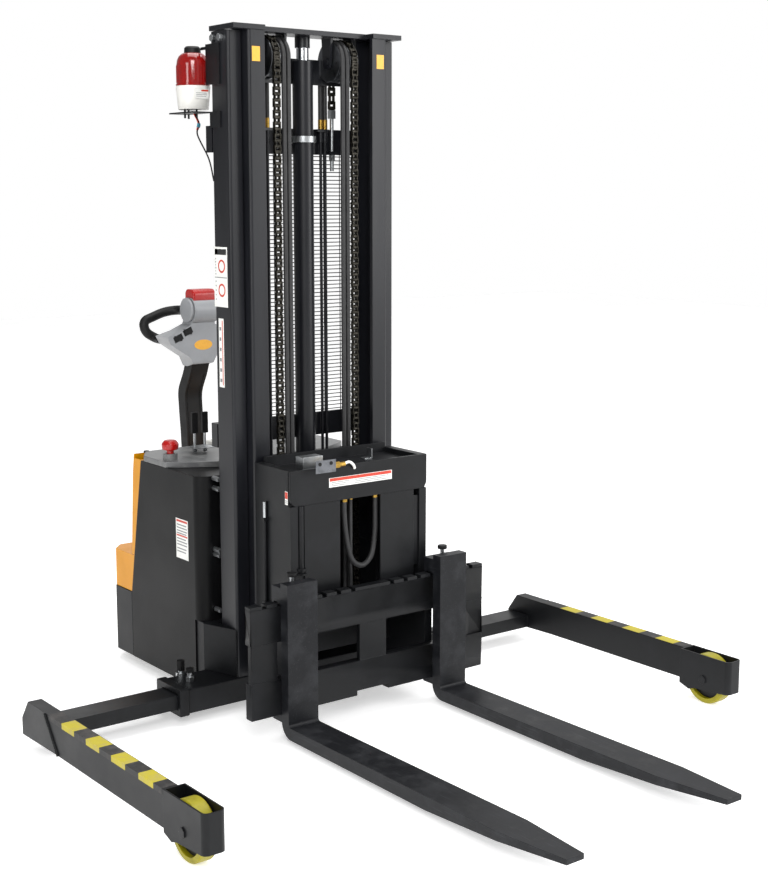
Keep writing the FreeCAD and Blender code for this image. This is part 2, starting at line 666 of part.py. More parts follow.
def fork_bars():
    upper = box((-s.bar_half, bar_front, s.high_bar_bottom),
                (s.bar_half, bar_rear, s.bar_top - s.notch_depth))
    lower = box((-s.bar_half, bar_front, s.bar_low), (s.bar_half, bar_rear, s.low_bar_top))
    release = box((-s.release_half, bar_front - 1, s.bar_low - 1),
                  (s.release_half, bar_rear + 1, s.bar_low + s.release_depth))
    centre = box((-s.centre_half, bar_front, s.low_bar_top),
                 (s.centre_half, bar_rear - 14, s.high_bar_bottom))
    fillers = [side_box(side, s.filler_inner, s.bar_half, bar_front, bar_rear - 14,
                        s.low_bar_top, s.high_bar_bottom) for _, side in SIDES]
    node("fork_bars", group(upper, *teeth(), cut(lower, release), centre, *fillers))


def carriage_frame():
    """Side posts behind the bars, roller arms inside the mast, and the box at the top."""
    pieces = []
    post = [(bar_rear, s.bar_low + 21), (bar_rear, s.bar_top - 21), (s.plate_front + 2, s.bar_top - 21),
            (s.plate_front + 2, s.plate_low), (s.plate_front + s.plate_thick, s.plate_low),
            (s.plate_front + s.plate_thick, s.plate_top), (s.post_rear, s.plate_top),
            (s.post_rear, s.bar_low + 21)]
    post_inner = s.plate_half - s.post_width
    arm_outer = s.arm_inner + s.arm_thick
    arm_low = s.carriage_roller_low - 50
    arm_high = s.carriage_roller_high + 45
    for _, side in SIDES:
        x_low, x_high = (post_inner, s.plate_half) if side > 0 else (-s.plate_half, -post_inner)
        pieces.append(prism("YZ", post, x_low, x_high))
        pieces.append(side_box(side, s.arm_inner, arm_outer, s.post_rear - 28, s.arm_rear, arm_low, arm_high))
        pieces.append(side_box(side, s.arm_inner, post_inner, s.post_rear - 28, s.post_rear,
                               arm_low, arm_high))
        for z in (s.carriage_roller_low, s.carriage_roller_high):
            pieces.append(side_drum(side, arm_outer - 1, carriage_roller_near + s.roller_width + 3,
                                    carriage_roller_y, z, s.stub_radius))
    chain_y = s.sheave_y - s.wrap_radius
    pieces.append(box((-arm_outer, chain_y - 15, s.carriage_anchor - 28),
                      (arm_outer, chain_y + 15, s.carriage_anchor)))
    pieces.append(box((-post_inner, s.post_rear - 12, s.plate_low - 8),
                      (post_inner, s.post_rear - 4, s.plate_top + 15)))
    pieces.append(box((-post_inner, s.plate_front + s.plate_thick, s.shelf_z - 6),
                      (post_inner, s.post_rear - 12, s.shelf_z)))
    pieces.append(box((-post_inner, s.post_rear - 12, arm_low), (post_inner, s.post_rear - 4, arm_low + 60)))
    node("carriage_frame", fuse(*pieces))


def front_plates():
    outline = [(-s.plate_half, s.plate_low), (s.plate_half, s.plate_low), (s.plate_half, s.plate_top),
               (-s.plate_half, s.plate_top)]
    plate = prism("XZ", outline, s.plate_front, s.plate_front + s.plate_thick, [(s.plate_round, (0, 1))])
    node("carriage_top_plate", plate)
    panels = [side_box(side, s.panel_inner, s.panel_outer, s.plate_front + 2,
                       s.plate_front + 2 + s.panel_thick, s.panel_low, s.plate_low)
              for _, side in SIDES]
    ties = [side_box(side, s.panel_outer - 20, s.plate_half - s.post_width, s.plate_front + 2 + s.panel_thick,
                     s.plate_front + 12 + s.panel_thick, s.panel_low + 40, s.plate_low - 20)
            for _, side in SIDES]
    node("carriage_panels", group(*[fuse(panel, tie) for panel, tie in zip(panels, ties)]))


def carriage_hydraulics():
    valve = box((-176, 130, s.shelf_z), (-108, 168, s.shelf_z + 42))
    port = box((-34, bar_rear, s.bar_top - 60), (18, bar_rear + 79, s.bar_top - 30))
    node("hydraulic_blocks", group(valve, port))
    low = s.bar_top - 30
    high = s.shelf_z - 6
    y = 118
    straight = drum((-8, y + 18, low), "Z", high - low, 6)
    loop = tube("carriage hose", [(68, y, high), (68, y, 530), (55, y, 465), (20, y, 432), (-18, y, 455),
                                  (-38, y, 520), (-44, y, 610), (-44, y, high)], 8.5)
    node("carriage_hoses", group(straight, loop))


def fork(name, side):
    """One L-shaped fork with its two hooks and the hole for its locating pin."""
    profile = [(s.fork_thick, s.shank_top), (s.fork_thick, s.fork_low), (-s.fork_flat, s.fork_low + 1),
               (-s.fork_length, s.tip_low), (-s.fork_length, s.tip_top), (0, s.fork_low + s.fork_thick),
               (0, s.shank_top)]
    half = s.fork_width / 2
    middle = s.fork_x * side
    blade = prism("YZ", profile, middle - half, middle + half, [(s.heel_round, (1,)), (9, (5,))])
    plan = [(middle - half, 90), (middle - half, s.tip_taper - s.fork_length),
            (middle - s.tip_half, -s.fork_length - 1), (middle + s.tip_half, -s.fork_length - 1),
            (middle + half, s.tip_taper - s.fork_length), (middle + half, 90)]
    shape = common(blade, prism("XY", plan, 0, s.shank_top + 10))
    lip = hook_rear - s.hook_lip
    seat = s.bar_top + 0.5
    low_seat = s.bar_low - 1
    hooks = [box((middle - half, s.fork_thick - 2, seat), (middle + half, hook_rear, seat + s.hook_tall)),
             box((middle - half, lip, seat - 16), (middle + half, hook_rear, seat + 1)),
             box((middle - half, s.fork_thick - 12, low_seat - 20), (middle + half, hook_rear, low_seat)),
             box((middle - half, lip, low_seat - 1), (middle + half, hook_rear, low_seat + 17))]
    hole = drum((middle, pin_y, s.bar_top - 5), "Z", s.hook_tall + 20, s.pin_radius + 0.5)
    node(f"fork_{name}", cut(fuse(shape, *hooks), hole))
    pin = drum((middle, pin_y, s.bar_top + 1), "Z", s.shank_top + 10 - (s.bar_top + 1), s.pin_radius)
    knob = drum((middle, pin_y, s.shank_top + 8), "Z", 11, s.knob_radius)
    node(f"fork_pin_{name}", fuse(pin, knob))


# ---------------------------------------------------------------- chassis and covers

def chassis_frame():
    """Welded steel box behind the sleeve: floorless, with the turntable hole in its top."""
    side = s.body_half - s.body_wall - 0.5
    outline = [(-side, s.body_front), (side, s.body_front), (side, s.edge_low_y + 1),
               (s.body_half, s.edge_low_y + 1), (s.body_half, s.skirt_corner), (s.skirt_cut, s.skirt_rear),
               (s.bulge_half + s.bulge, s.skirt_rear), (s.bulge_half, s.skirt_rear + s.bulge),
               (-s.bulge_half, s.skirt_rear + s.bulge), (-s.bulge_half - s.bulge, s.skirt_rear),
               (-s.skirt_cut, s.skirt_rear), (-s.body_half, s.skirt_corner),
               (-s.body_half, s.edge_low_y + 1), (-side, s.edge_low_y + 1)]
    wall = s.frame_wall
    room = [(-side + wall, s.body_front + wall), (side - wall, s.body_front + wall),
            (side - wall, s.skirt_corner - wall), (s.skirt_cut - wall, s.skirt_rear - wall),
            (s.bulge_half + s.bulge - wall, s.skirt_rear - wall),
            (s.bulge_half - wall, s.skirt_rear + s.bulge - wall),
            (wall - s.bulge_half, s.skirt_rear + s.bulge - wall),
            (wall - s.bulge_half - s.bulge, s.skirt_rear - wall),
            (wall - s.skirt_cut, s.skirt_rear - wall), (wall - side, s.skirt_corner - wall)]
    shell = prism("XY", outline, s.body_low, s.frame_top)
    inside = prism("XY", room, s.body_low - 1, s.frame_top - wall)
    hole = drum((0, s.steer_y, s.frame_top - wall - 1), "Z", wall + 2, s.table_radius + 2)
    ledges = [prism("XY", mirrored(sign, [(s.mast_half, s.mast_front), (s.body_half, s.body_front - 5),
                                          (side, s.body_front), (s.mast_half, s.body_front)]),
                    s.mast_foot, s.frame_top) for _, sign in SIDES]
    posts = [drum((s.caster_x * sign, s.caster_y, s.frame_top - wall - 45), "Z", 46, 12) for _, sign in SIDES]
    node("chassis_frame", fuse(cut(shell, inside, hole), *ledges, *posts))


def lean(low_y, z_low, z_high):
    """The covers' leaning rear edge: its place at two heights, from one slope."""
    slope = (s.edge_high_y - s.edge_low_y) / (s.body_top - s.frame_top)
    return low_y + slope * (z_low - s.frame_top), low_y + slope * (z_high - s.frame_top)


def body_shell():
    """Black side and front panels with the flat top that carries the control deck."""
    def ring(inset, low, high):
        half = s.body_half - inset
        outline = [(-half, s.body_front + inset), (half, s.body_front + inset), (half, s.skirt_rear),
                   (-half, s.skirt_rear)]
        return prism("XY", outline, low, high, [(s.body_round - inset, (0, 1))])
    wall = s.body_wall
    outer = ring(0, s.body_low, s.body_top)
    inner = ring(wall, s.body_low - 1, s.body_top - wall)
    y_low, y_high = lean(s.edge_low_y, s.body_low, s.body_top + 10)
    behind = prism("YZ", [(s.edge_low_y, s.body_low - 2), (s.edge_low_y, s.frame_top),
                          (y_high, s.body_top + 10),
                          (s.skirt_rear + 1, s.body_top + 10), (s.skirt_rear + 1, s.body_low - 2)],
                   -s.body_half - 1, s.body_half + 1)
    front = box((-s.body_half - 1, s.body_front - 1, s.body_low - 2),
                (s.body_half + 1, s.body_front + s.body_round + 1, s.frame_top))
    node("body_shell", cut(outer, inner, behind, front))


def rear_cover():
    """Leaning yellow shell behind the side panels, open at its bottom and front."""
    def slab(inset):
        y_base, y_crest = lean(s.edge_low_y + 0.5, s.hood_top + 2, s.body_top)
        rise = s.cover_top - inset
        outline = [(y_base, s.hood_top + 2 - inset), (y_crest, s.body_top - inset),
                   (s.edge_high_y + 52, rise), (s.edge_high_y + 62 - inset, rise - 60),
                   (s.edge_high_y + 84 - inset, s.hood_top + 2 - inset)]
        return prism("YZ", outline, -s.body_half + 4 + inset, s.body_half - 4 - inset)
    deck_room = box((-s.body_half, s.edge_high_y - 60, s.body_top),
                    (s.body_half, s.edge_high_y + 52, s.cover_top + 10))
    front = box((-s.body_half + 8, s.edge_high_y - 60, s.hood_top - 20),
                (s.body_half - 8, s.edge_high_y + 50, s.body_top - 4))
    node("rear_cover", cut(slab(0), slab(4), deck_room, front))


def control_deck():
    outline = [(-330, 650), (-297, 620), (-200, 565), (200, 565), (297, 620), (330, 650), (330, 785),
               (316, s.edge_high_y + 2), (285, s.edge_high_y + 51), (-285, s.edge_high_y + 51),
               (-316, s.edge_high_y + 2),
               (-330, 785)]
    collar = drum((-297, 675, s.deck_top - 1), "Z", 21, 22)
    well = drum((-297, 675, s.deck_top), "Z", 30, 12.5)
    node("control_deck", cut(fuse(prism("XY", outline, s.body_top, s.deck_top), collar), well))


def drive_hood():
    """Low rear hood, open at the front where it meets the body's leaning edge."""
    front, _ = lean(s.edge_low_y + 2, s.hood_top, s.body_top)

    def shell(inset, reach, low, high):
        half = s.body_half - 3 - inset
        rear = s.skirt_rear - 4 - inset
        right = [(half, front - reach), (half, s.skirt_corner - inset), (s.skirt_cut - inset, rear),
                 (s.bulge_half + s.bulge - inset, rear), (s.bulge_half - inset, rear + s.bulge)]
        left = [(-u, v) for u, v in reversed(right)]
        return prism("XY", right + left, low, high, [(18, (2, 7))])
    wall = s.body_wall
    hole = drum((0, s.steer_y, s.hood_top - wall - 1), "Z", wall + 2, 64)
    crest, _ = lean(s.edge_low_y + 2, s.hood_top + 1, s.body_top)
    ahead = prism("YZ", [(s.edge_low_y + 2, s.frame_top - 1), (crest, s.hood_top + 1),
                         (crest - 60, s.hood_top + 1), (crest - 60, s.frame_top - 1)],
                  -s.body_half, s.body_half)
    inside = shell(wall, 20, s.frame_top - 1, s.hood_top - wall)
    node("drive_hood", cut(shell(0, 0, s.frame_top, s.hood_top), inside, hole, ahead))


def inner_units():
    floor = s.frame_top
    node("battery", box((-270, s.body_front + 20, floor), (270, s.body_front + 190, floor + 260)))
    tank = box((-280, s.body_front + 205, floor), (-40, s.body_front + 345, floor + 150))
    motor = drum((40, s.body_front + 275, floor), "Z", 230, 62)
    pump = box((-60, s.body_front + 240, floor), (60, s.body_front + 310, floor + 90))
    node("power_unit", fuse(tank, motor, pump))


# ---------------------------------------------------------------- drive and casters

def drive():
    """Steered drive unit: turntable, motor, gear case and the clevis that holds the tiller."""
    y = s.steer_y
    half = s.drive_width / 2
    table = drum((0, y, s.frame_top - 12), "Z", 12.5, s.table_radius)
    flange = drum((0, y, s.frame_top + 0.5), "Z", 10, s.table_radius + 14)
    case = box((half + 4, y - 45, s.drive_radius - 45), (half + 34, y + 45, s.frame_top - 11))
    axle = drum((-half + 2, y, s.drive_radius), "X", s.drive_width + 4, 20)
    motor = drum((0, y, s.frame_top + 10), "Z", 98, 58)
    column = drum((0, y, s.frame_top + 100), "Z", s.tiller_pivot_z - 36 - (s.frame_top + 100), 26)
    back = s.tiller_y + 22
    base = box((-44, y - 28, s.tiller_pivot_z - 42), (44, back, s.tiller_pivot_z - 30))
    lugs = [side_box(side, s.arm_width / 2 + 1, 44, s.tiller_y - 22, back, s.tiller_pivot_z - 32,
                     s.tiller_pivot_z + 18) for _, side in SIDES]
    pin = drum((-46, s.tiller_y, s.tiller_pivot_z), "X", 92, s.tiller_pin)
    node("drive_unit", fuse(table, flange, case, axle, motor, column, base, *lugs, pin))
    wheel = drum((-half, y, s.drive_radius), "X", s.drive_width, s.drive_radius)
    bore = drum((-half - 1, y, s.drive_radius), "X", s.drive_width + 2, 20 + s.running_gap)
    node("drive_wheel", cut(wheel, bore))


def caster(name, side):
    """A swivel caster below the chassis: yoke on a post, wheel on its axle."""
    x = s.caster_x * side
    half = s.caster_width / 2
    wheel_y = s.caster_y + s.caster_trail
    crown_top = s.frame_top - s.frame_wall - 46
    crown = box((x - half - 10, s.caster_y - 24, crown_top - 10), (x + half + 10, s.caster_y + 40, crown_top))
    cheeks = [box((x + low, wheel_y - 16, s.caster_radius - 16), (x + low + 6, wheel_y + 16, crown_top - 5))
              for low in (-half - 9, half + 3)]
    axle = drum((x - half - 9, wheel_y, s.caster_radius), "X", s.caster_width + 18, 7)
    node(f"caster_{name}", fuse(crown, *cheeks, axle))
    wheel = drum((x - half, wheel_y, s.caster_radius), "X", s.caster_width, s.caster_radius)
    bore = drum((x - half - 1, wheel_y, s.caster_radius), "X", s.caster_width + 2, 7 + s.running_gap)
    node(f"caster_wheel_{name}", cut(wheel, bore))


# ---------------------------------------------------------------- tiller and controls

def tiller():
    half = s.arm_width / 2
    y = s.tiller_y
    z = s.tiller_pivot_z
    outline = [(y - 20, z - 14), (y - 12, z + 34), (y + 42, z + 120), (y + 68, z + 220), (y + 74, z + 300),
               (y + 82, z + 370), (y + 82, z + 425), (y + 48, z + 485), (y + 28, z + 530),
               (y + 76, z + 530), (y + 94, z + 490), (y + 128, z + 430), (y + 128, z + 370),
               (y + 118, z + 290), (y + 112, z + 220), (y + 88, z + 105), (y + 22, z + 4), (y + 16, z - 14)]
    arm = prism("YZ", outline, -half, half)
    bore = drum((-half - 1, y, z), "X", s.arm_width + 2, s.tiller_pin + s.running_gap)
    node("tiller_arm", cut(arm, bore))


def tiller_head():
    low = s.head_low
    wide = s.head_half_width
    half_arm = s.arm_width / 2 + 0.5
    outline = [(-30, low), (30, low), (48, low + 40), (122, low + 88), (134, low + 112), (84, low + 128),
               (wide - 12, low + 150), (wide - 12, low + 232), (12 - wide, low + 232), (12 - wide, low + 150),
               (-84, low + 128), (-134, low + 112), (-122, low + 88), (-48, low + 40)]
    face = prism("XZ", outline, s.throttle_y - 14, s.throttle_y + 66)
    side_profile = [(s.throttle_y - 12, low + 20), (s.throttle_y + 66, low), (s.throttle_y + 66, low + 120),
                    (s.throttle_y + 38, low + 160), (s.throttle_y + 38, low + 240),
                    (s.throttle_y - 40, low + 240),
                    (s.throttle_y - 40, low + 160)]
    trimmed = common(face, prism("YZ", side_profile, -140, 140))
    barrel = drum((12 - wide, s.throttle_y, s.throttle_z), "X", wide * 2 - 24, s.throttle_radius + 4)
    arm_room = box((-half_arm, s.tiller_y + 26, low - 5), (half_arm, s.tiller_y + 92, s.tiller_pivot_z + 530))
    shaft = drum((-wide, s.throttle_y, s.throttle_z), "X", wide * 2, 8.5)
    pockets = [box((x, s.throttle_y - 15, z), (x + 30, s.throttle_y - 2, z + 18))
               for x, z in ((-72, s.head_low + 118), (-108, s.head_low + 98))]
    well = box((14 - wide, s.throttle_y - 30, s.throttle_z + 18),
               (wide - 14, s.throttle_y + 30, s.throttle_z + 80))
    trim = box((-wide, s.throttle_y - 60, s.throttle_z + 40), (wide, s.throttle_y + 60, s.throttle_z + 80))
    node("tiller_head", cut(fuse(trimmed, barrel), arm_room, shaft, well, trim, *pockets))
    caps = [side_drum(side, wide - 11, wide, s.throttle_y, s.throttle_z, s.throttle_radius)
            for _, side in SIDES]
    bar = drum((11 - wide, s.throttle_y, s.throttle_z), "X", wide * 2 - 22, 8)
    node("throttle", fuse(*caps, bar))
    button = [(s.throttle_y - 29, s.throttle_z + 28), (s.throttle_y + 29, s.throttle_z + 28),
              (s.throttle_y + 29, s.throttle_z + 56), (s.throttle_y + 20, s.throttle_z + 68),
              (s.throttle_y - 20, s.throttle_z + 68), (s.throttle_y - 29, s.throttle_z + 56)]
    node("belly_button", prism("YZ", button, 15 - wide, wide - 15))
    loops = []
    for _, side in SIDES:
        loops.append(tube("handle loop", [(27 * side, 1030, 1128), (28 * side, 1078, 1130),
                                          (72 * side, 1100, 1124), (152 * side, 1100, 1096),
                                          (148 * side, 1094, 1060), (114 * side, 1084, 1038),
                                          (114 * side, 1051.5, 1038)], s.grip_radius))
    node("handle_loops", group(*loops))
    for label, x, z in (("lift_switch", -71, s.head_low + 119), ("lower_switch", -107, s.head_low + 99)):
        node(label, box((x, s.throttle_y - 17, z), (x + 28, s.throttle_y - 5, z + 16)))


def deck_controls():
    top = s.deck_top
    node("estop_button", turned([(0, top + 9), (11, top + 9), (11, top + 30), (24, top + 32),
                                 (26, top + 42), (26, top + 50), (18, top + 60), (0, top + 63)],
                                (-297, 675, 0)))
    for label, x, y in (("lift_lever", -176, 736), ("lower_lever", -142, 731)):
        rod = drum((x, y, top + 2), "Z", 75, 4)
        pivot = drum((x - 6, y, top + 8), "X", 12, 5)
        grip = box((x - 10, y - 5, top + 62), (x + 10, y + 5, top + 128))
        node(label, fuse(rod, pivot, grip))
    barrel = drum((180, 745, top + 0.3), "Z", 6, 14)
    bow = box((178, 732, top + 6), (182, 758, top + 32))
    node("key_switch", fuse(barrel, bow))


# ---------------------------------------------------------------- beacon and fasteners

def beacon():
    at = (s.beacon_x, s.beacon_y, 0)
    r = s.beacon_radius
    node("beacon_base", turned([(0, s.beacon_low), (r - 5, s.beacon_low), (r + 1, s.dome_low - 6),
                                (r + 1, s.dome_low), (0, s.dome_low)], at))
    outer = turned([(0, s.dome_low), (r + 1, s.dome_low), (r + 1, s.dome_low + 9), (r - 1, s.dome_low + 12),
                    (r - 1, s.dome_top - 34), (r - 12, s.dome_top - 10), (r - 24, s.dome_top),
                    (r - 24, s.dome_top + 18), (0, s.dome_top + 18)], at)
    room = turned([(0, s.dome_low - 1), (r - 4, s.dome_low - 1), (r - 4, s.dome_top - 34),
                   (r - 16, s.dome_top - 12),
                   (r - 26, s.dome_top - 4), (0, s.dome_top - 4)], at)
    node("beacon_dome", cut(outer, room))
    foot = s.dome_low + 0.3
    back = turned([(0, foot), (22, foot), (22, s.dome_low + 56), (0, s.dome_low + 56)], at)
    half = box((s.beacon_x, s.beacon_y - 30, s.dome_low), (s.beacon_x + 30, s.beacon_y + 30, s.dome_low + 70))
    node("beacon_reflector", cut(back, half))
    web = -s.mast_half
    shelf = box((s.beacon_x - 50, mast_rear - 2, s.beacon_low - 12), (web, s.beacon_y + 52, s.beacon_low - 8))
    lug = box((web - 4, s.mast_front + 40, s.beacon_low - 52), (web, mast_rear + 2, s.beacon_low - 8))
    plate = box((web - 4, s.mast_front + 40, s.dome_low), (web, mast_rear + 20, s.dome_top + 18))
    arm = box((web - 4, mast_rear, s.dome_top + 4), (web, s.beacon_y - 30, s.dome_top + 12))
    studs = [drum((s.beacon_x + dx, s.beacon_y + dy, s.beacon_low - 24), "Z", 24, 3)
             for dx, dy in ((-28, 0), (0, 28), (-6, -28))]
    node("beacon_bracket", group(fuse(shelf, lug, *studs), fuse(plate, arm)))


def frame_bolts():
    pieces = []
    for _, side in SIDES:
        x = (s.sleeve_half - 74) * side
        near = s.tube_front + s.tube_depth * 0.64
        pieces.append(fuse(nut((x, near, s.mast_foot), "Z", 14, 14), drum((x, near, s.mast_foot), "Z", 34, 8),
                           nut((x, near, s.mast_foot + 26), "Z", 12, 13)))
        far = tube_rear + 22
        pieces.append(fuse(drum((x, far, s.mast_foot), "Z", 12, 15), drum((x, far, s.mast_foot), "Z", 40, 8),
                           nut((x, far, s.mast_foot + 18), "Z", 30, 13)))
        for y in (s.mast_front + 30, s.mast_front + 68):
            start = s.mast_half if side > 0 else -s.mast_half - 12
            pieces.append(nut((start, y, s.mast_top - 18), "X", 12, 10))
    node("frame_bolts", group(*pieces))


# ---------------------------------------------------------------- the whole machine

base_sleeve()
for side_name, side_sign in SIDES:
    outrigger(side_name, side_sign)
    node(f"load_wheel_{side_name}", load_wheel(side_sign))
    fork(side_name, side_sign)
    caster(side_name, side_sign)
outer_mast()
mesh_guard()
lift_cylinder()
inner_mast()
mast_head()
sheaves()
chains()
mast_hoses()
mast_fittings()
roller_pair("mast_rollers", s.inner_half + 3, s.mast_front + s.mast_depth / 2, s.mast_roller_z)
roller_pair("carriage_rollers_high", carriage_roller_near, carriage_roller_y, s.carriage_roller_high)
roller_pair("carriage_rollers_low", carriage_roller_near, carriage_roller_y, s.carriage_roller_low)
fork_bars()
carriage_frame()
front_plates()
carriage_hydraulics()
chassis_frame()
body_shell()
rear_cover()
control_deck()
drive_hood()
inner_units()
drive()
tiller()
tiller_head()
deck_controls()
beacon()
frame_bolts()

DOC.recompute()
for item in DOC.Objects:
    if "Invalid" in item.State or "Error" in item.State:
        raise RuntimeError(f"{item.Name} ({item.Label}) could not be built: {item.State}")
os.makedirs("parts", exist_ok=True)
for item in NODES:
    if item.Shape.isNull() or not item.Shape.isValid() or not item.Shape.Solids:
        raise RuntimeError(f"{item.Label} has no valid solid")
    item.Shape.exportStep(f"parts/{item.Label}.step")
print(len(NODES), "nodes,", len(DOC.Objects), "objects")
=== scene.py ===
import json
import math
import random

import bmesh
import bpy
from mathutils import Matrix, Vector


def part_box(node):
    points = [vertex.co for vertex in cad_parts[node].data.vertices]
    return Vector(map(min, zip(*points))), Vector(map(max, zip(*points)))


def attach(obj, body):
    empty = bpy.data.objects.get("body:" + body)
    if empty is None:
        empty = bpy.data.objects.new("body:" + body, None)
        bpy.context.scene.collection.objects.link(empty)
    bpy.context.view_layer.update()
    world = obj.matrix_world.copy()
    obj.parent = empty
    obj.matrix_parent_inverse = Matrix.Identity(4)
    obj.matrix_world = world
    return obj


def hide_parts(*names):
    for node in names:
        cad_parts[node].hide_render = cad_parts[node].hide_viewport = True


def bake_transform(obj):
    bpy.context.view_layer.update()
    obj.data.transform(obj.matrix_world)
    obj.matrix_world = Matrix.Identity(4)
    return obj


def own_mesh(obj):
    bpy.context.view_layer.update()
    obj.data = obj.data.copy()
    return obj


# Walkie stacker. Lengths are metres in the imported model's frame; MM turns millimetres to metres.
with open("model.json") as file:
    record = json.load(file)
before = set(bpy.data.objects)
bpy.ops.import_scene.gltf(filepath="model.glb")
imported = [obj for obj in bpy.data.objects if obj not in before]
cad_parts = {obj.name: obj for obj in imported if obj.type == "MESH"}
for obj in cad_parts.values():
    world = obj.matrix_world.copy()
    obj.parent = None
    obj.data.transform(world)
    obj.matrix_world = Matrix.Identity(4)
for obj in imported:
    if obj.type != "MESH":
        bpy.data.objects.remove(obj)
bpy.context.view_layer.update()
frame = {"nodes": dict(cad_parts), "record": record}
MM = 0.001
UP = Vector((0, 0, 1))
ACROSS = Vector((1, 0, 0))
AHEAD = Vector((0, -1, 0))
SIDES = (("left", -1), ("right", 1))
random.seed(7)


# ------------------------------------------------------------ camera, floor and light

def add_camera():
    """Stands off the machine's front left, a little above its middle, with a long lens."""
    azimuth, elevation = math.radians(-37.30), math.radians(9.46)
    place = (-2.4696, -3.2804, 1.5046)
    back = Vector((math.sin(azimuth) * math.cos(elevation), -math.cos(azimuth) * math.cos(elevation),
                   math.sin(elevation)))
    right = Vector((math.cos(azimuth), math.sin(azimuth), 0))
    turn = Matrix((right, back.cross(right), back)).transposed().to_4x4()
    data = bpy.data.cameras.new("camera")
    data.lens = 60.08  # mm, on a 36 mm sensor
    data.sensor_width = 36
    data.clip_end = 60
    camera = bpy.data.objects.new("camera", data)
    camera.matrix_world = Matrix.Translation(place) @ turn
    bpy.context.scene.collection.objects.link(camera)
    bpy.context.scene.camera = camera


def add_light(name, place, aim, size, power):
    data = bpy.data.lights.new(name, "AREA")
    data.shape = "RECTANGLE"
    data.size, data.size_y = size
    data.energy = power
    lamp = bpy.data.objects.new(name, data)
    direction = Vector(aim) - Vector(place)
    lamp.matrix_world = Matrix.Translation(place) @ direction.to_track_quat("-Z", "Y").to_matrix().to_4x4()
    bpy.context.scene.collection.objects.link(lamp)


def add_studio():
    """Soft light from the front, with a pale room on the right and a dim one on the left."""
    add_light("key_softbox", (-3.0, -4.2, 3.6), (0, 0, 0.9), (2.4, 2.4), 190)
    add_light("right_softbox", (3.4, -3.4, 2.2), (0, 0, 0.8), (1.8, 2.6), 85)
    add_light("left_fill", (-4.6, -1.2, 1.8), (0, 0.3, 0.8), (1.4, 2.6), 60)
    add_light("top_softbox", (0.2, 0.2, 4.8), (0, 0, 0), (3.4, 3.4), 130)
    world = bpy.data.worlds.new("studio")
    world.use_nodes = True
    tree = world.node_tree
    sky = put(tree, "ShaderNodeTexCoord").outputs["Generated"]
    facing = put(tree, "ShaderNodeSeparateXYZ", {"Vector": sky})
    room = put(tree, "ShaderNodeMapRange", {"Value": facing.outputs["X"]}, From_Min=-0.15, From_Max=0.34,
               To_Min=0.24, To_Max=1.0)
    tree.nodes["Background"].inputs["Color"].default_value = (1, 1, 1, 1)
    tree.links.new(room.outputs["Result"], tree.nodes["Background"].inputs["Strength"])
    bpy.context.scene.world = world
    bpy.context.scene.view_settings.view_transform = "Standard"
    bm = bmesh.new()
    bmesh.ops.create_grid(bm, x_segments=1, y_segments=1, size=14)
    data = bpy.data.meshes.new("floor")
    bm.to_mesh(data)
    bm.free()
    floor = bpy.data.objects.new("floor", data)
    bpy.context.scene.collection.objects.link(floor)
    data.materials.append(FINISH["floor"])


# ------------------------------------------------------------ materials

def colour(text):
    """A linear colour from an sRGB hex value."""
    parts = [int(text[i:i + 2], 16) / 255 for i in (0, 2, 4)]
    return [p / 12.92 if p <= 0.04045 else ((p + 0.055) / 1.055) ** 2.4 for p in parts] + [1]


def put(tree, kind, links=None, **settings):
    """Adds a node; settings are its properties or its inputs' values, links join sockets to inputs."""
    node = tree.nodes.new(kind)
    for key, value in settings.items():
        if hasattr(node, key):
            setattr(node, key, value)
    for key, value in settings.items():
        if not hasattr(node, key):
            node.inputs[key.replace("_", " ")].default_value = value
    for key, socket in (links or {}).items():
        tree.links.new(socket, node.inputs[key])
    return node


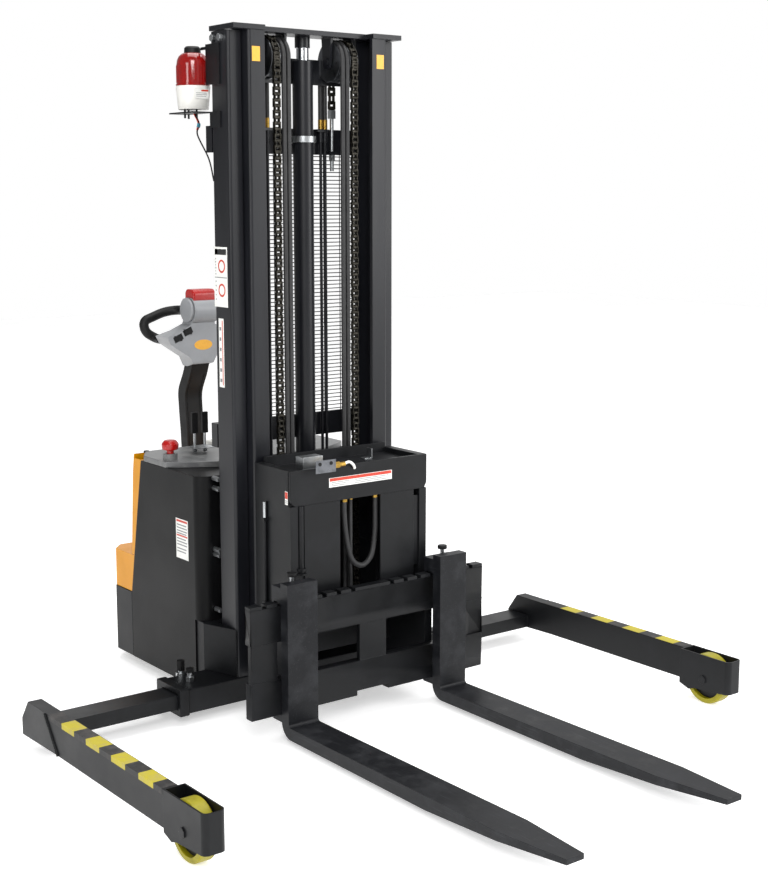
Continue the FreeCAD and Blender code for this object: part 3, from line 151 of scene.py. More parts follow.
def finish(name, base, worn, rough=(0.35, 0.5), metal=0.0, grain=1.2, bump=0.02, patch=90,
           amount=0.5, stretch=(1, 1, 1), coat=0.0, streak=0.0, through=0.0, wave=None, gloss=0.5,
           glow=0.0):
    """A procedural surface. base and worn are its two colours; grain, patch, wave and bump are in mm.

    grain is the width of the fine relief and bump its depth. Real grain is finer than 0.6 mm on most
    of these finishes and wouldn't show, so it is drawn that coarse or coarser. patch is the size of
    worn or dusty areas, amount how much they show, and streak how strong the scuffs along Y are.
    """
    made = bpy.data.materials.new(name)
    made.use_nodes = True
    tree = made.node_tree
    shader = tree.nodes["Principled BSDF"]
    where = put(tree, "ShaderNodeTexCoord").outputs["Object"]
    scaled = put(tree, "ShaderNodeMapping", {"Vector": where}, Scale=stretch).outputs["Vector"]
    broad = put(tree, "ShaderNodeTexNoise", {"Vector": scaled}, Scale=1 / (patch * MM), Detail=6.0,
                Roughness=0.62)
    fine = put(tree, "ShaderNodeTexNoise", {"Vector": scaled}, Scale=1 / (grain * MM), Detail=3.0)
    mask = put(tree, "ShaderNodeMapRange", {"Value": broad.outputs["Fac"]}, From_Min=0.46, From_Max=0.78,
               To_Min=0.0, To_Max=amount)
    shade = put(tree, "ShaderNodeMix", {"Factor": mask.outputs["Result"]}, data_type="RGBA")
    shade.inputs[6].default_value = colour(base)
    shade.inputs[7].default_value = colour(worn)
    result = shade.outputs[2]
    if streak:
        lines = put(tree, "ShaderNodeMapping", {"Vector": where}, Scale=(1, 0.05, 1))
        hair = put(tree, "ShaderNodeTexNoise", {"Vector": lines.outputs["Vector"]}, Scale=260.0, Detail=4.0)
        cut = put(tree, "ShaderNodeMapRange", {"Value": hair.outputs["Fac"]}, From_Min=0.6, From_Max=0.75,
                  To_Min=0.0, To_Max=streak)
        scuffed = put(tree, "ShaderNodeMix", {"Factor": cut.outputs["Result"]}, data_type="RGBA")
        tree.links.new(result, scuffed.inputs[6])
        scuffed.inputs[7].default_value = colour(worn)
        result = scuffed.outputs[2]
    tree.links.new(result, shader.inputs["Base Color"])
    roughness = put(tree, "ShaderNodeMapRange", {"Value": broad.outputs["Fac"]}, From_Min=0.3, From_Max=0.7,
                    To_Min=rough[0], To_Max=rough[1])
    tree.links.new(roughness.outputs["Result"], shader.inputs["Roughness"])
    height = fine.outputs["Fac"]
    if wave:
        bands = put(tree, "ShaderNodeTexWave", {"Vector": where}, Scale=0.314 / (wave * MM),
                    wave_type="BANDS", bands_direction="Z", Distortion=0.4)
        height = bands.outputs["Fac"]
    relief = put(tree, "ShaderNodeBump", {"Height": height}, Strength=0.5, Distance=bump * MM)
    tree.links.new(relief.outputs["Normal"], shader.inputs["Normal"])
    shader.inputs["Metallic"].default_value = metal
    shader.inputs["Coat Weight"].default_value = coat
    shader.inputs["Transmission Weight"].default_value = through
    shader.inputs["Specular IOR Level"].default_value = gloss
    shader.inputs["Emission Color"].default_value = colour(base)
    shader.inputs["Emission Strength"].default_value = glow
    return made


FINISH = {
    # brushed-on chassis enamel: near black, faintly blue, with dusty patches
    "chassis_enamel": finish("black_chassis_enamel", "0F1012", "232427", (0.34, 0.50), grain=2.2, bump=0.05,
                             patch=160, amount=0.6, gloss=0.22),
    # the same enamel on rolled mast channels, drawn along their length
    "mast_enamel": finish("black_mast_enamel", "121317", "25262B", (0.28, 0.42), grain=1.6, bump=0.04,
                          patch=120, amount=0.6, stretch=(1, 1, 0.12), gloss=0.32),
    # enamel on forged forks, rubbed grey along the blade
    "fork_enamel": finish("black_fork_enamel", "151619", "3C3D40", (0.36, 0.56), grain=1.4, bump=0.12,
                          patch=70, amount=0.55, streak=0.5, gloss=0.2),
    # powder coat on the side panels: smoother, darker
    "panel_coat": finish("black_powder_coat", "0B0B0C", "141516", (0.30, 0.44), grain=1.0, bump=0.03,
                         patch=200, amount=0.5, gloss=0.12),
    # through-coloured ABS covers with a light haze
    "amber_abs": finish("amber_abs_moulding", "D38E00", "B87C0A", (0.30, 0.44), grain=0.9, bump=0.02,
                        patch=150, amount=0.5, gloss=0.3),
    # leathery grained ABS deck
    "deck_abs": finish("grained_deck_abs", "5C5D5E", "8A8A88", (0.30, 0.46), grain=1.3, bump=0.16, patch=45,
                       amount=0.7),
    # silver-grey moulded shell with a thin gloss
    "head_shell": finish("silver_head_moulding", "8C8E91", "77797C", (0.38, 0.5), grain=0.7, bump=0.02,
                         patch=110, amount=0.6, coat=0.1),
    # fine-textured nylon: grips, switches, knobs
    "black_nylon": finish("black_textured_nylon", "0C0C0D", "1C1C1D", (0.44, 0.60), grain=0.8, bump=0.09,
                          patch=40, amount=0.5, gloss=0.25),
    # glossy moulded nylon: emergency stop and belly button
    "red_nylon": finish("red_gloss_nylon", "A60E0A", "8C0A08", (0.22, 0.32), grain=0.9, bump=0.02, patch=40,
                        amount=0.5, coat=0.08),
    # white moulded ABS: beacon foot and filler cap
    "white_abs": finish("white_abs_moulding", "DAD9D4", "C5C3BC", (0.32, 0.44), grain=0.8, bump=0.02,
                        patch=60, amount=0.5),
    # tinted polycarbonate lens
    "red_lens": finish("red_polycarbonate_lens", "B5100C", "7E0806", (0.06, 0.14), grain=2.0, bump=0.02,
                       patch=60, amount=0.4, coat=0.5, through=0.55),
    # ground hard chrome on the lift rod
    "hard_chrome": finish("ground_hard_chrome", "C9CBCE", "B4B6B9", (0.12, 0.22), 1.0, grain=0.7, bump=0.01,
                          patch=30, stretch=(1, 1, 4)),
    # bright zinc plating, slightly blue and blotched
    "zinc_plate": finish("bright_zinc_plate", "B3B6B8", "8A8D8E", (0.26, 0.42), 1.0, grain=0.9, bump=0.03,
                         patch=14, amount=0.7),
    # turned brass hose ends, dulled in patches
    "brass": finish("turned_brass", "A8873F", "7B6230", (0.28, 0.42), 1.0, grain=0.6, bump=0.02, patch=12,
                    amount=0.7),
    # oiled chain steel, dark with small rubbed patches
    "chain_steel": finish("oiled_chain_steel", "26241F", "6A665E", (0.30, 0.48), 0.85, grain=0.8, bump=0.05,
                          patch=9, amount=0.6),
    # turned steel, blotched from bright to dark
    "roller_steel": finish("turned_roller_steel", "6E7074", "3D3E41", (0.26, 0.42), 1.0, grain=0.8,
                           bump=0.03, patch=20, amount=0.7),
    # rubber hose cover; the wrapped fabric shows as fine rings
    "hose_cover": finish("wrapped_hose_rubber", "1B1B1C", "353536", (0.46, 0.6), grain=1.2, bump=0.12,
                         patch=30, amount=0.6, wave=2.4),
    # cast polyurethane, scuffed in patches
    "polyurethane": finish("cast_polyurethane_tread", "958C0E", "6F6812", (0.36, 0.55), grain=1.6,
                           bump=0.08, patch=26, amount=0.8, gloss=0.35),
    # cast wheel hub, coarse from the mould
    "hub_black": finish("black_cast_hub", "101011", "2A2A2B", (0.4, 0.55), grain=1.5, bump=0.1, patch=20,
                        gloss=0.3),
    # driving tyre: matt, grey with dust
    "tyre_rubber": finish("black_tyre_rubber", "1C1C1C", "38383A", (0.6, 0.8), grain=1.4, bump=0.15,
                          patch=30, amount=0.6),
    # grit-faced floor tape, yellow and black
    "tape_yellow": finish("yellow_hazard_tape", "B5A71A", "A2966A", (0.5, 0.7), grain=0.9, bump=0.14,
                          patch=34, amount=0.9),
    "tape_black": finish("black_hazard_tape", "1A1A1A", "575250", (0.5, 0.7), grain=0.9, bump=0.14,
                         patch=34, amount=0.9),
    # printed vinyl: a flat even ink with a slight sheen
    "label_white": finish("printed_vinyl_white", "E8E8E4", "D2D2CC", (0.3, 0.42), grain=0.8, bump=0.01,
                          patch=25),
    "label_red": finish("printed_vinyl_red", "C5371F", "A92F1C", (0.3, 0.42), grain=0.8, bump=0.01,
                        patch=25),
    "label_grey": finish("printed_vinyl_grey", "7C7E80", "94969A", (0.3, 0.42), grain=0.8, bump=0.01,
                         patch=10),
    "label_black": finish("printed_vinyl_black", "1A1A1A", "2A2A2A", (0.3, 0.42), grain=0.8, bump=0.01,
                          patch=10),
    "label_amber": finish("printed_vinyl_amber", "E0A32A", "C98F22", (0.3, 0.42), grain=0.8, bump=0.01,
                          patch=10),
    # blue sleeve of a crimped wire joint
    "crimp_blue": finish("blue_crimp_vinyl", "3D8FA6", "2F7186", (0.35, 0.5), grain=0.7, bump=0.02,
                         patch=10),
    # pale matt floor, lit a little from within so that it stays even
    "floor": finish("pale_studio_floor", "F4F4F4", "EFEFEF", (0.6, 0.75), grain=3.0, bump=0.01, patch=900,
                    gloss=0.1, glow=0.5),
}


# ------------------------------------------------------------ mesh helpers

def corners(node):
    """A CAD node's low corner, high corner and middle."""
    low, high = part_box(node)
    return low, high, (low + high) / 2


def add_box(bm, low, high, slot=0):
    verts = [bm.verts.new((x, y, z)) for x in (low[0],
                                               high[0]) for y in (low[1],
                                                                  high[1]) for z in (low[2], high[2])]
    for quad in ((0, 1, 3, 2), (4, 6, 7, 5), (0, 4, 5, 1), (2, 3, 7, 6), (0, 2, 6, 4), (1, 5, 7, 3)):
        bm.faces.new([verts[i] for i in quad]).material_index = slot


def frames_along(points):
    """A place, and two directions across, at each point of a path, with no twist."""
    spots = [Vector(p) for p in points]
    heading = (spots[1] - spots[0]).normalized()
    side = heading.orthogonal().normalized()
    result = []
    for index, spot in enumerate(spots):
        ahead = spots[min(index + 1, len(spots) - 1)] - spots[max(index - 1, 0)]
        ahead.normalize()
        side = (side - ahead * side.dot(ahead)).normalized()
        result.append((spot, side, ahead.cross(side)))
    return result


def add_tube(bm, points, radius, sides=16, slot=0):
    """A closed tube along a path; radius is one value, or one for each point."""
    radii = radius if isinstance(radius, (list, tuple)) else [radius] * len(points)
    rings = []
    for (spot, side, other), reach in zip(frames_along(points), radii):
        ring = []
        for step in range(sides):
            angle = 2 * math.pi * step / sides
            ring.append(bm.verts.new(spot + (side * math.cos(angle) + other * math.sin(angle)) * reach))
        rings.append(ring)
    for first, second in zip(rings, rings[1:]):
        for step in range(sides):
            after = (step + 1) % sides
            bm.faces.new((first[step], first[after], second[after], second[step])).material_index = slot
    bm.faces.new(list(reversed(rings[0]))).material_index = slot
    bm.faces.new(rings[-1]).material_index = slot


def add_slab(bm, near, far, slot=0):
    """A closed slab between two outlines that have as many points as each other."""
    near, far = ([bm.verts.new(spot) for spot in outline] for outline in (near, far))
    bm.faces.new(list(reversed(near))).material_index = slot
    bm.faces.new(far).material_index = slot
    for k in range(len(near)):
        after = (k + 1) % len(near)
        bm.faces.new((near[k], near[after], far[after], far[k])).material_index = slot


def add_hexagon(bm, start, axis, length, radius, slot=0):
    add_tube(bm, [Vector(start), Vector(start) + Vector(axis) * length], radius, 6, slot)


def lathe(bm, centre, profile, slot=0, steps=48):
    """A turned ring: the closed profile of (radius, height) millimetres, about an upright axis."""
    rings = []
    for step in range(steps):
        angle = 2 * math.pi * step / steps
        out = Vector((math.cos(angle), math.sin(angle), 0))
        rings.append([bm.verts.new(Vector(centre) + (out * r + UP * z) * MM) for r, z in profile])
    for step in range(steps):
        first, second = rings[step], rings[(step + 1) % steps]
        for k in range(len(profile)):
            after = (k + 1) % len(profile)
            bm.faces.new((first[k], second[k], second[after], first[after])).material_index = slot


def smooth_path(points, steps=8):
    """Points on a smooth curve through the given ones."""
    spots = [Vector(p) for p in points]
    spots = [spots[0] * 2 - spots[1]] + spots + [spots[-1] * 2 - spots[-2]]
    result = []
    for a, b, c, d in zip(spots, spots[1:], spots[2:], spots[3:]):
        for step in range(steps):
            t = step / steps
            result.append(0.5 * (2 * b + (c - a) * t + (2 * a - 5 * b + 4 * c - d) * t * t
                                 + (3 * b - a - 3 * c + d) * t ** 3))
    return result + [spots[-2]]


def link_object(name, data):
    thing = bpy.data.objects.new(name, data)
    bpy.context.scene.collection.objects.link(thing)
    return thing


def settle(thing):
    """Turns an object's evaluated shape into a plain mesh with no modifiers."""
    graph = bpy.context.evaluated_depsgraph_get()
    data = bpy.data.meshes.new_from_object(thing.evaluated_get(graph), depsgraph=graph)
    name = thing.name
    bpy.data.objects.remove(thing)
    data.name = name
    return link_object(name, data)


def piece(name, bm, body, finishes, bevel=0.0, segments=2, smooth=True, stands_for=()):
    """A finished piece from a bmesh: eased edges, materials, and the body it rides on."""
    bmesh.ops.recalc_face_normals(bm, faces=bm.faces)
    data = bpy.data.meshes.new(name)
    bm.to_mesh(data)
    bm.free()
    for item in finishes:
        data.materials.append(FINISH[item])
    thing = link_object(name, data)
    if bevel:
        ease = thing.modifiers.new("ease", "BEVEL")
        ease.width = bevel * MM
        ease.segments = segments
        ease.limit_method = "ANGLE"
        ease.angle_limit = math.radians(35)
        thing = settle(thing)
    thing.data.polygons.foreach_set("use_smooth", [smooth] * len(thing.data.polygons))
    if smooth:
        thing.data.set_sharp_from_angle(angle=math.radians(32))
        even = thing.modifiers.new("even", "WEIGHTED_NORMAL")
        even.weight = 80
        even.keep_sharp = True
        thing = settle(thing)
    if body:
        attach(thing, body)
    if stands_for:
        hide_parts(*stands_for)
    return thing


BODY_OF = {node: body for body, nodes in frame["record"]["behaviour"]["bodies"].items() for node in nodes}


def joined_up(node):
    """A copy of a CAD node's mesh with its triangles joined into whole faces."""
    bm = bmesh.new()
    bm.from_mesh(frame["nodes"][node].data)
    bmesh.ops.remove_doubles(bm, verts=bm.verts, dist=0.01 * MM)
    bmesh.ops.dissolve_limit(bm, angle_limit=math.radians(0.6), verts=bm.verts, edges=bm.edges)
    return bm


def eased(node, bevel, finishes, choose=None, segments=2):
    """The CAD node's own shape with eased edges. choose picks each face's finish from its centre."""
    bm = joined_up(node)
    for face in bm.faces:
        face.material_index = choose(face.calc_center_median()) if choose else 0
    return piece(f"{node}_look", bm, BODY_OF[node], finishes, bevel, segments,
                 stands_for=(node,))


# ------------------------------------------------------------ repeating things

def repeat_tree(name):
    """Geometry Nodes: one item set along a curve every Pitch, each up to Uneven larger or smaller."""
    tree = bpy.data.node_groups.new(name, "GeometryNodeTree")
    sockets = (("Geometry", "Geometry", "INPUT"), ("Item", "Object", "INPUT"), ("Pitch", "Float", "INPUT"),
               ("Finish", "Material", "INPUT"), ("Uneven", "Float", "INPUT"),
               ("Geometry", "Geometry", "OUTPUT"))
    for title, kind, way in sockets:
        tree.interface.new_socket(title, in_out=way, socket_type=f"NodeSocket{kind}")
    entry = put(tree, "NodeGroupInput").outputs
    item = put(tree, "GeometryNodeObjectInfo", {"Object": entry["Item"]}).outputs["Geometry"]
    row = put(tree, "GeometryNodeCurveToPoints", {"Curve": entry["Geometry"], "Length": entry["Pitch"]},
              mode="LENGTH").outputs
    turn = put(tree, "FunctionNodeAlignRotationToVector", {"Vector": row["Tangent"]}, axis="Z",
               pivot_axis="X").outputs["Rotation"]
    low = put(tree, "ShaderNodeMath", {1: entry["Uneven"]}, operation="SUBTRACT")
    low.inputs[0].default_value = 1.0
    high = put(tree, "ShaderNodeMath", {0: entry["Uneven"]}, operation="ADD")
    high.inputs[1].default_value = 1.0
    size = put(tree, "FunctionNodeRandomValue", data_type="FLOAT", Seed=11)
    for title, limit in (("Min", low), ("Max", high)):
        wanted = [socket for socket in size.inputs if socket.name == title and socket.type == "VALUE"]
        tree.links.new(limit.outputs[0], wanted[0])
    scale = [socket for socket in size.outputs if socket.type == "VALUE"][0]
    copies = put(tree, "GeometryNodeInstanceOnPoints",
                 {"Points": row["Points"], "Instance": item, "Rotation": turn, "Scale": scale})
    real = put(tree, "GeometryNodeRealizeInstances", {"Geometry": copies.outputs["Instances"]})
    painted = put(tree, "GeometryNodeSetMaterial",
                  {"Geometry": real.outputs[0], "Material": entry["Finish"]})
    put(tree, "NodeGroupOutput", {"Geometry": painted.outputs["Geometry"]})
    return tree


ALONG = repeat_tree("items_along_a_path")


def repeated(name, paths, item, pitch, finish_name, uneven=0.0):
    """A mesh of items set along paths. item is a bmesh drawn round the origin, its run along +Z."""
    bmesh.ops.recalc_face_normals(item, faces=item.faces)
    shape = bpy.data.meshes.new("item")
    item.to_mesh(shape)
    holder = link_object("item", shape)
    curve = bpy.data.curves.new(name, "CURVE")
    curve.dimensions = "3D"
    for points in paths:
        spline = curve.splines.new("POLY")
        spline.points.add(len(points) - 1)
        for spot, point in zip(points, spline.points):
            point.co = (*spot, 1)
    thing = link_object(name, curve)
    maker = thing.modifiers.new("items", "NODES")
    maker.node_group = ALONG
    values = {"Item": holder, "Pitch": pitch, "Finish": FINISH[finish_name], "Uneven": uneven}
    for socket in ALONG.interface.items_tree:
        if socket.in_out == "INPUT" and socket.name in values:
            maker[socket.identifier] = values[socket.name]
    made = settle(thing)
    bpy.data.objects.remove(holder)
    made.data.materials.clear()
    made.data.materials.append(FINISH[finish_name])
    made.data.polygons.foreach_set("use_smooth", [True] * len(made.data.polygons))
    made.data.set_sharp_from_angle(angle=math.radians(35))
    return made


def weld(name, body, runs, size=3.0):
    """Weld beads along runs: overlapping ripples a few millimetres wide."""
    ripple = bmesh.new()
    bmesh.ops.create_uvsphere(ripple, u_segments=8, v_segments=5, radius=size * MM,
                              matrix=Matrix.Diagonal((1, 1, 0.55, 1)))
    made = repeated(name, runs, ripple, size * 0.62 * MM, "chassis_enamel", 0.12)
    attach(made, body)


# ------------------------------------------------------------ chains and hoses

def chain_item(width, pitch):
    """One wide and one narrow link of roller chain, along +Z, with open windows between the rollers."""
    bm = bmesh.new()
    lobe, half, points = 8.4 * MM, 1.1 * MM, 20
    for part, share in ((0, 0.44), (1, 0.32)):
        centre = (part - 0.5) * pitch
        for side in (-1, 1):
            x = side * share * width
            outline = []
            for step in range(points):
                angle = 2 * math.pi * step / points
                end = 0.5 * pitch * (1 if math.sin(angle) >= 0 else -1)
                waist = 0.72 if abs(math.sin(angle)) < 0.35 else 1.0
                outline.append((lobe * waist * math.cos(angle),
                                centre + end + lobe * 0.55 * math.sin(angle)))
            add_slab(bm, [(x - half, y, z) for y, z in outline], [(x + half, y, z) for y, z in outline])
        pin = centre - 0.5 * pitch
        add_tube(bm, [(-0.27 * width, 0, pin), (0.27 * width, 0, pin)], 5.6 * MM, 14)
        add_tube(bm, [(-0.52 * width, 0, pin), (0.52 * width, 0, pin)], 2.9 * MM, 10)
    return bm


def mast_lines():
    """Lift chains and hoses: straight front run, wrap over the sheave, and rear run."""
    low, high, _ = corners("front_chains")
    rear_low, rear_high, rear = corners("rear_chains")
    top = rear_high.z
    sheave = corners("head_sheaves")[2]
    radius = rear.y - sheave.y
    width = 21 * MM
    chain_x = high.x - width / 2
    hose_low, hose_high, _ = corners("front_hoses")
    hose_foot = corners("rear_hoses")[0].z
    hose_radius = 7 * MM
    far = hose_high.x - hose_radius
    near = far - 16 * MM

    def arc(x):
        turns = [math.pi * k / 28 for k in range(29)]
        return [(x, sheave.y - radius * math.cos(turn), top + radius * math.sin(turn)) for turn in turns]

    def run(x, y, start, end, count=2):
        return [(x, y, start + (end - start) * k / (count - 1)) for k in range(count)]

    front_y, back_y = sheave.y - radius, sheave.y + radius
    columns, hose_columns = (-chain_x, chain_x), (-far, -near, near, far)
    link = 15.875 * MM
    front = repeated("front_chain_runs", [run(x, front_y, top - 6 * MM, low.z + 12 * MM) for x in columns],
                     chain_item(width, link), 2 * link, "chain_steel")
    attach(front, "inner_mast")
    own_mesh(front)
    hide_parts("front_chains")
    wrap = repeated("chain_wraps", [arc(x) for x in columns], chain_item(width, link), 2 * link,
                    "chain_steel")
    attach(wrap, "inner_mast")
    back = repeated("rear_chain_runs", [run(x, back_y, top - 8 * MM, rear_low.z + 6 * MM) for x in columns],
                    chain_item(width, link), 2 * link, "chain_steel")
    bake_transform(back)
    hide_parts("rear_chains")
    bm = bmesh.new()
    for x in hose_columns:
        add_tube(bm, run(x, front_y, hose_low.z, top, 30), hose_radius)
    front = piece("front_hose_runs", bm, "inner_mast", ("hose_cover",),
                  stands_for=("front_hoses",))
    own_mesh(front)
    bm = bmesh.new()
    for x in hose_columns:
        add_tube(bm, arc(x), hose_radius)
    piece("hose_wraps", bm, "inner_mast", ("hose_cover",))
    bm = bmesh.new()
    for x in hose_columns:
        add_tube(bm, run(x, back_y, hose_foot, top, 24), hose_radius)
    back = piece("rear_hose_runs", bm, None, ("hose_cover",))
    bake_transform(back)
    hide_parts("rear_hoses")


def carriage_lines():
    """Hoses under the carriage's top plate, with their swaged ends."""
    low, high, _ = corners("carriage_hoses")
    top = high.z
    y = low.y + 8.5 * MM
    back = y + 18 * MM
    bm = bmesh.new()
    straight, right_end, left_end = -8 * MM, 68, -44
    rise = [(straight, back, low.z + 290 * MM * k / 20) for k in range(21)]
    add_tube(bm, rise + [(straight, back, top)], 6 * MM)
    sag = [(right_end, top), (69, 0.610), (67, 0.530), (54, 0.466), (22, 0.440), (-16, 0.462), (-36, 0.530),
           (left_end, 0.610), (left_end, top)]
    add_tube(bm, smooth_path([(x * MM, y, z) for x, z in sag], 10), 8.2 * MM)
    piece("carriage_hose_looks", bm, "carriage", ("hose_cover",),
          stands_for=("carriage_hoses",))
    bm = bmesh.new()
    for x in (right_end * MM, left_end * MM):
        add_tube(bm, [(x, y, top - 92 * MM), (x, y, top - 62 * MM)], 10 * MM, 20)
        add_hexagon(bm, (x, y, top - 62 * MM), UP, 18 * MM, 12.5 * MM)
        add_tube(bm, [(x, y, top - 44 * MM), (x, y, top)], 7 * MM, 20)
    add_tube(bm, [(straight, back, top - 92 * MM), (straight, back, top - 70 * MM)], 7.4 * MM, 20)
    piece("carriage_hose_ends", bm, "carriage", ("brass",), 0.5)


def carriage_fittings():
    """The valve block's face with black discs painted as the shade in its two ports, a brass elbow and
    clear hose, a tab, a rod and a pipe.
    """
    low = corners("hydraulic_blocks")[0]
    shelf = 0.735
    bm = bmesh.new()
    add_box(bm, (-0.1765, low.y - 0.6 * MM, shelf + 5 * MM), (-0.1075, low.y + 1 * MM, shelf + 41 * MM), 0)
    for x in (-0.162, -0.124):
        # black discs 1 mm proud of the face: painted shade where the two ports are dark holes
        painted_port_shade = Vector((x, low.y - 1.6 * MM, shelf + 31 * MM))
        add_tube(bm, [painted_port_shade, painted_port_shade - AHEAD * 1.2 * MM], 5.5 * MM, 20, 1)
    elbow = Vector((-0.108, low.y + 16 * MM, shelf + 20 * MM))
    add_hexagon(bm, elbow, ACROSS, 22 * MM, 10 * MM, 2)
    add_tube(bm, [elbow + ACROSS * 22 * MM, elbow + ACROSS * 42 * MM], 7 * MM, 20, 2)
    bend = [elbow + Vector(step) * MM for step in ((38, 0, 0), (58, 0, 4), (74, 2, -6), (82, 6, -18))]
    add_tube(bm, smooth_path(bend, 8), 4 * MM, 12, 3)
    piece("valve_fittings", bm, "carriage", ("roller_steel", "black_nylon", "brass", "label_white"),
          0.4)
    bm = bmesh.new()
    add_box(bm, (0.088, 0.170, shelf), (0.116, 0.196, shelf + 3 * MM))
    add_box(bm, (0.112, 0.170, shelf), (0.116, 0.196, shelf + 30 * MM))
    piece("shelf_tab", bm, "carriage", ("zinc_plate",), 0.5)
    plate_low, plate_high, _ = corners("carriage_top_plate")
    bm = bmesh.new()
    front = plate_low.y + 3.5 * MM
    foot = corners("fork_bars")[1].z + 49 * MM
    rod = Vector((-0.207, front, foot))
    add_tube(bm, [rod, (rod.x, front, 0.648)], 8 * MM, 24)
    for lift, reach in ((0, 15), (9, 12), (14, 14.5)):
        add_tube(bm, [rod + UP * lift * MM, rod + UP * (lift + 5) * MM], reach * MM, 24)
    piece("side_rod", bm, "carriage", ("chassis_enamel",), 0.6)
    bm = bmesh.new()
    x, y, neck = -plate_high.x - 6 * MM, 0.196, 0.600
    add_tube(bm, [(x, y, 0.335), (x, y, neck)], 5.5 * MM, 20, 0)
    add_tube(bm, [(x, y, neck), (x, y, 0.646)], 5.0 * MM, 20, 1)
    for z in (0.345, 0.590):
        add_box(bm, (x - 7 * MM, y - 7 * MM, z), (x + 6 * MM, y + 7 * MM, z + 9 * MM), 0)
    piece("side_pipe", bm, "carriage", ("chassis_enamel", "zinc_plate"), 0.4)


def mesh_guard():
    """Welded wire guard: level wires close together, upright wires far apart."""
    low, high, centre = corners("mesh_guard")
    stub = bmesh.new()
    wire = 1.5 * MM
    add_tube(stub, [(low.x, 0, 0), (high.x, 0, 0)], wire, 6)
    rise = [(0, centre.y, low.z + wire), (0, centre.y, high.z - wire)]
    level = repeated("mesh_level_wires", [rise], stub, 11.5 * MM, "chassis_enamel")
    bm = bmesh.new()
    columns = 8
    for column in range(columns + 1):
        x = low.x + wire + (high.x - low.x - 2 * wire) * column / columns
        add_tube(bm, [(x, centre.y + 0.6 * MM, low.z), (x, centre.y + 0.6 * MM, high.z)], wire, 6)
    upright = piece("mesh_upright_wires", bm, "chassis", ("chassis_enamel",))
    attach(level, "chassis")
    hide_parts("mesh_guard")
    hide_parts("mesh_guard")


# ------------------------------------------------------------ steelwork

def steelwork():
    """Welded frames, mast, carriage and forks: the CAD shapes with eased edges and paint."""
    paint = ("chassis_enamel",)
    for node, bevel in (("base_sleeve", 3), ("chassis_frame", 2), ("carriage_frame", 1.2),
                        ("fork_bars", 1.5), ("carriage_top_plate", 2), ("carriage_panels", 1.2),
                        ("beacon_bracket", 0.8), ("outrigger_left", 2), ("outrigger_right", 2),
                        ("drive_unit", 1.5)):
        eased(node, bevel, paint)
    for node, bevel in (("outer_mast_frame", 1.5), ("inner_mast_frame", 1.5), ("mast_head_beam", 1.5)):
        eased(node, bevel, ("mast_enamel",))
    for node in ("fork_left", "fork_right"):
        eased(node, 2.5, ("fork_enamel",), segments=3)
    eased("body_shell", 1.2, ("panel_coat",))
    eased("frame_bolts", 0.8, ("zinc_plate", "black_nylon"),
          lambda c: 1 if 0.128 < c.z < 0.2 and abs(c.x) < 0.46 else 0)
    for node in ("caster_left", "caster_right", "cylinder_clamp", "hydraulic_blocks"):
        eased(node, 0.8, ("zinc_plate",))
    for node in ("fork_pin_left", "fork_pin_right"):
        collar = corners(node)[1].z - 14 * MM
        eased(node, 1.5, ("black_nylon", "zinc_plate"), lambda c: 1 if c.z < collar else 0)
    for node in ("mast_rollers", "carriage_rollers_high", "carriage_rollers_low", "head_sheaves"):
        eased(node, 0.8, ("roller_steel",))
    eased("cylinder_barrel", 1, ("mast_enamel",))
    cap = corners("cylinder_barrel")[1].z + 38 * MM
    eased("cylinder_rod", 1, ("hard_chrome", "mast_enamel"), lambda c: 1 if c.z > cap else 0)
    shelf = 1.700
    eased("mast_fittings", 0.5, ("mast_enamel", "brass", "zinc_plate"),
          lambda c: 2 if abs(c.x) > 0.12 else (1 if c.z > shelf else 0))
    eased("battery", 4, ("black_nylon",))
    eased("power_unit", 2, ("chassis_enamel",))


def weld_seams():
    """Weld beads on the mast foot, bars, top plate and legs, with studs and axle heads."""
    low, high, _ = corners("outer_mast_frame")
    foot = corners("base_sleeve")[1].z - 4 * MM
    runs = []
    for _, side in SIDES:
        x = side * high.x
        runs.append([(x, low.y + 10 * MM, foot + 1.5 * MM), (x, low.y + 88 * MM, foot + 1.5 * MM)])
        edge = Vector((x + side * 1.2 * MM, low.y + 3 * MM, foot))
        runs.append([edge, edge + UP * 140 * MM])
    weld("mast_foot_welds", "chassis", runs)
    low = corners("fork_bars")[0]
    runs = []
    for z in (0.1832, 0.2922):  # the edges of the gap between the bars
        for side in (-1, 1):
            runs.append([(side * 330 * MM, low.y, z), (side * 416 * MM, low.y, z)])
            runs.append([(side * 2 * MM, low.y, z), (side * 47 * MM, low.y, z)])
    weld("bar_welds", "carriage", runs, 1.6)
    low, high, _ = corners("carriage_top_plate")
    x, y = high.x - 1 * MM, high.y + 1 * MM
    runs = [[(side * x, y, low.z + 4 * MM), (side * x, y, high.z - 4 * MM)] for side in (-1, 1)]
    weld("top_plate_welds", "carriage", runs, 2.5)
    studs = bmesh.new()
    for _, side in SIDES:
        for z in (0.287, 0.455, 0.470, 0.655, 0.684):
            add_hexagon(studs, (side * 0.283, 0.386, z), -AHEAD, 34 * MM, 8 * MM)
    piece("mast_studs", studs, "chassis", ("zinc_plate",), 0.5)
    for name, side in SIDES:
        low, high, _ = corners(f"outrigger_{name}")
        outer = high.x - 5 * MM if side > 0 else low.x + 5 * MM
        slant = [(outer + side * 0.4 * MM, 0.174, 0.052), (outer + side * 0.4 * MM, 0.246, 0.147)]
        weld(f"leg_welds_{name}", f"{name}_leg", [slant], 4.2)
        bolts = bmesh.new()
        hub = Vector((outer + side * 1.4 * MM, -0.487, 0.075))
        add_tube(bolts, [hub, hub + ACROSS * side * 1.6 * MM], 9 * MM, 24)
        add_hexagon(bolts, hub, ACROSS * side, 3 * MM, 5.5 * MM)
        piece(f"axle_head_{name}", bolts, f"{name}_leg", ("zinc_plate",), 0.5)


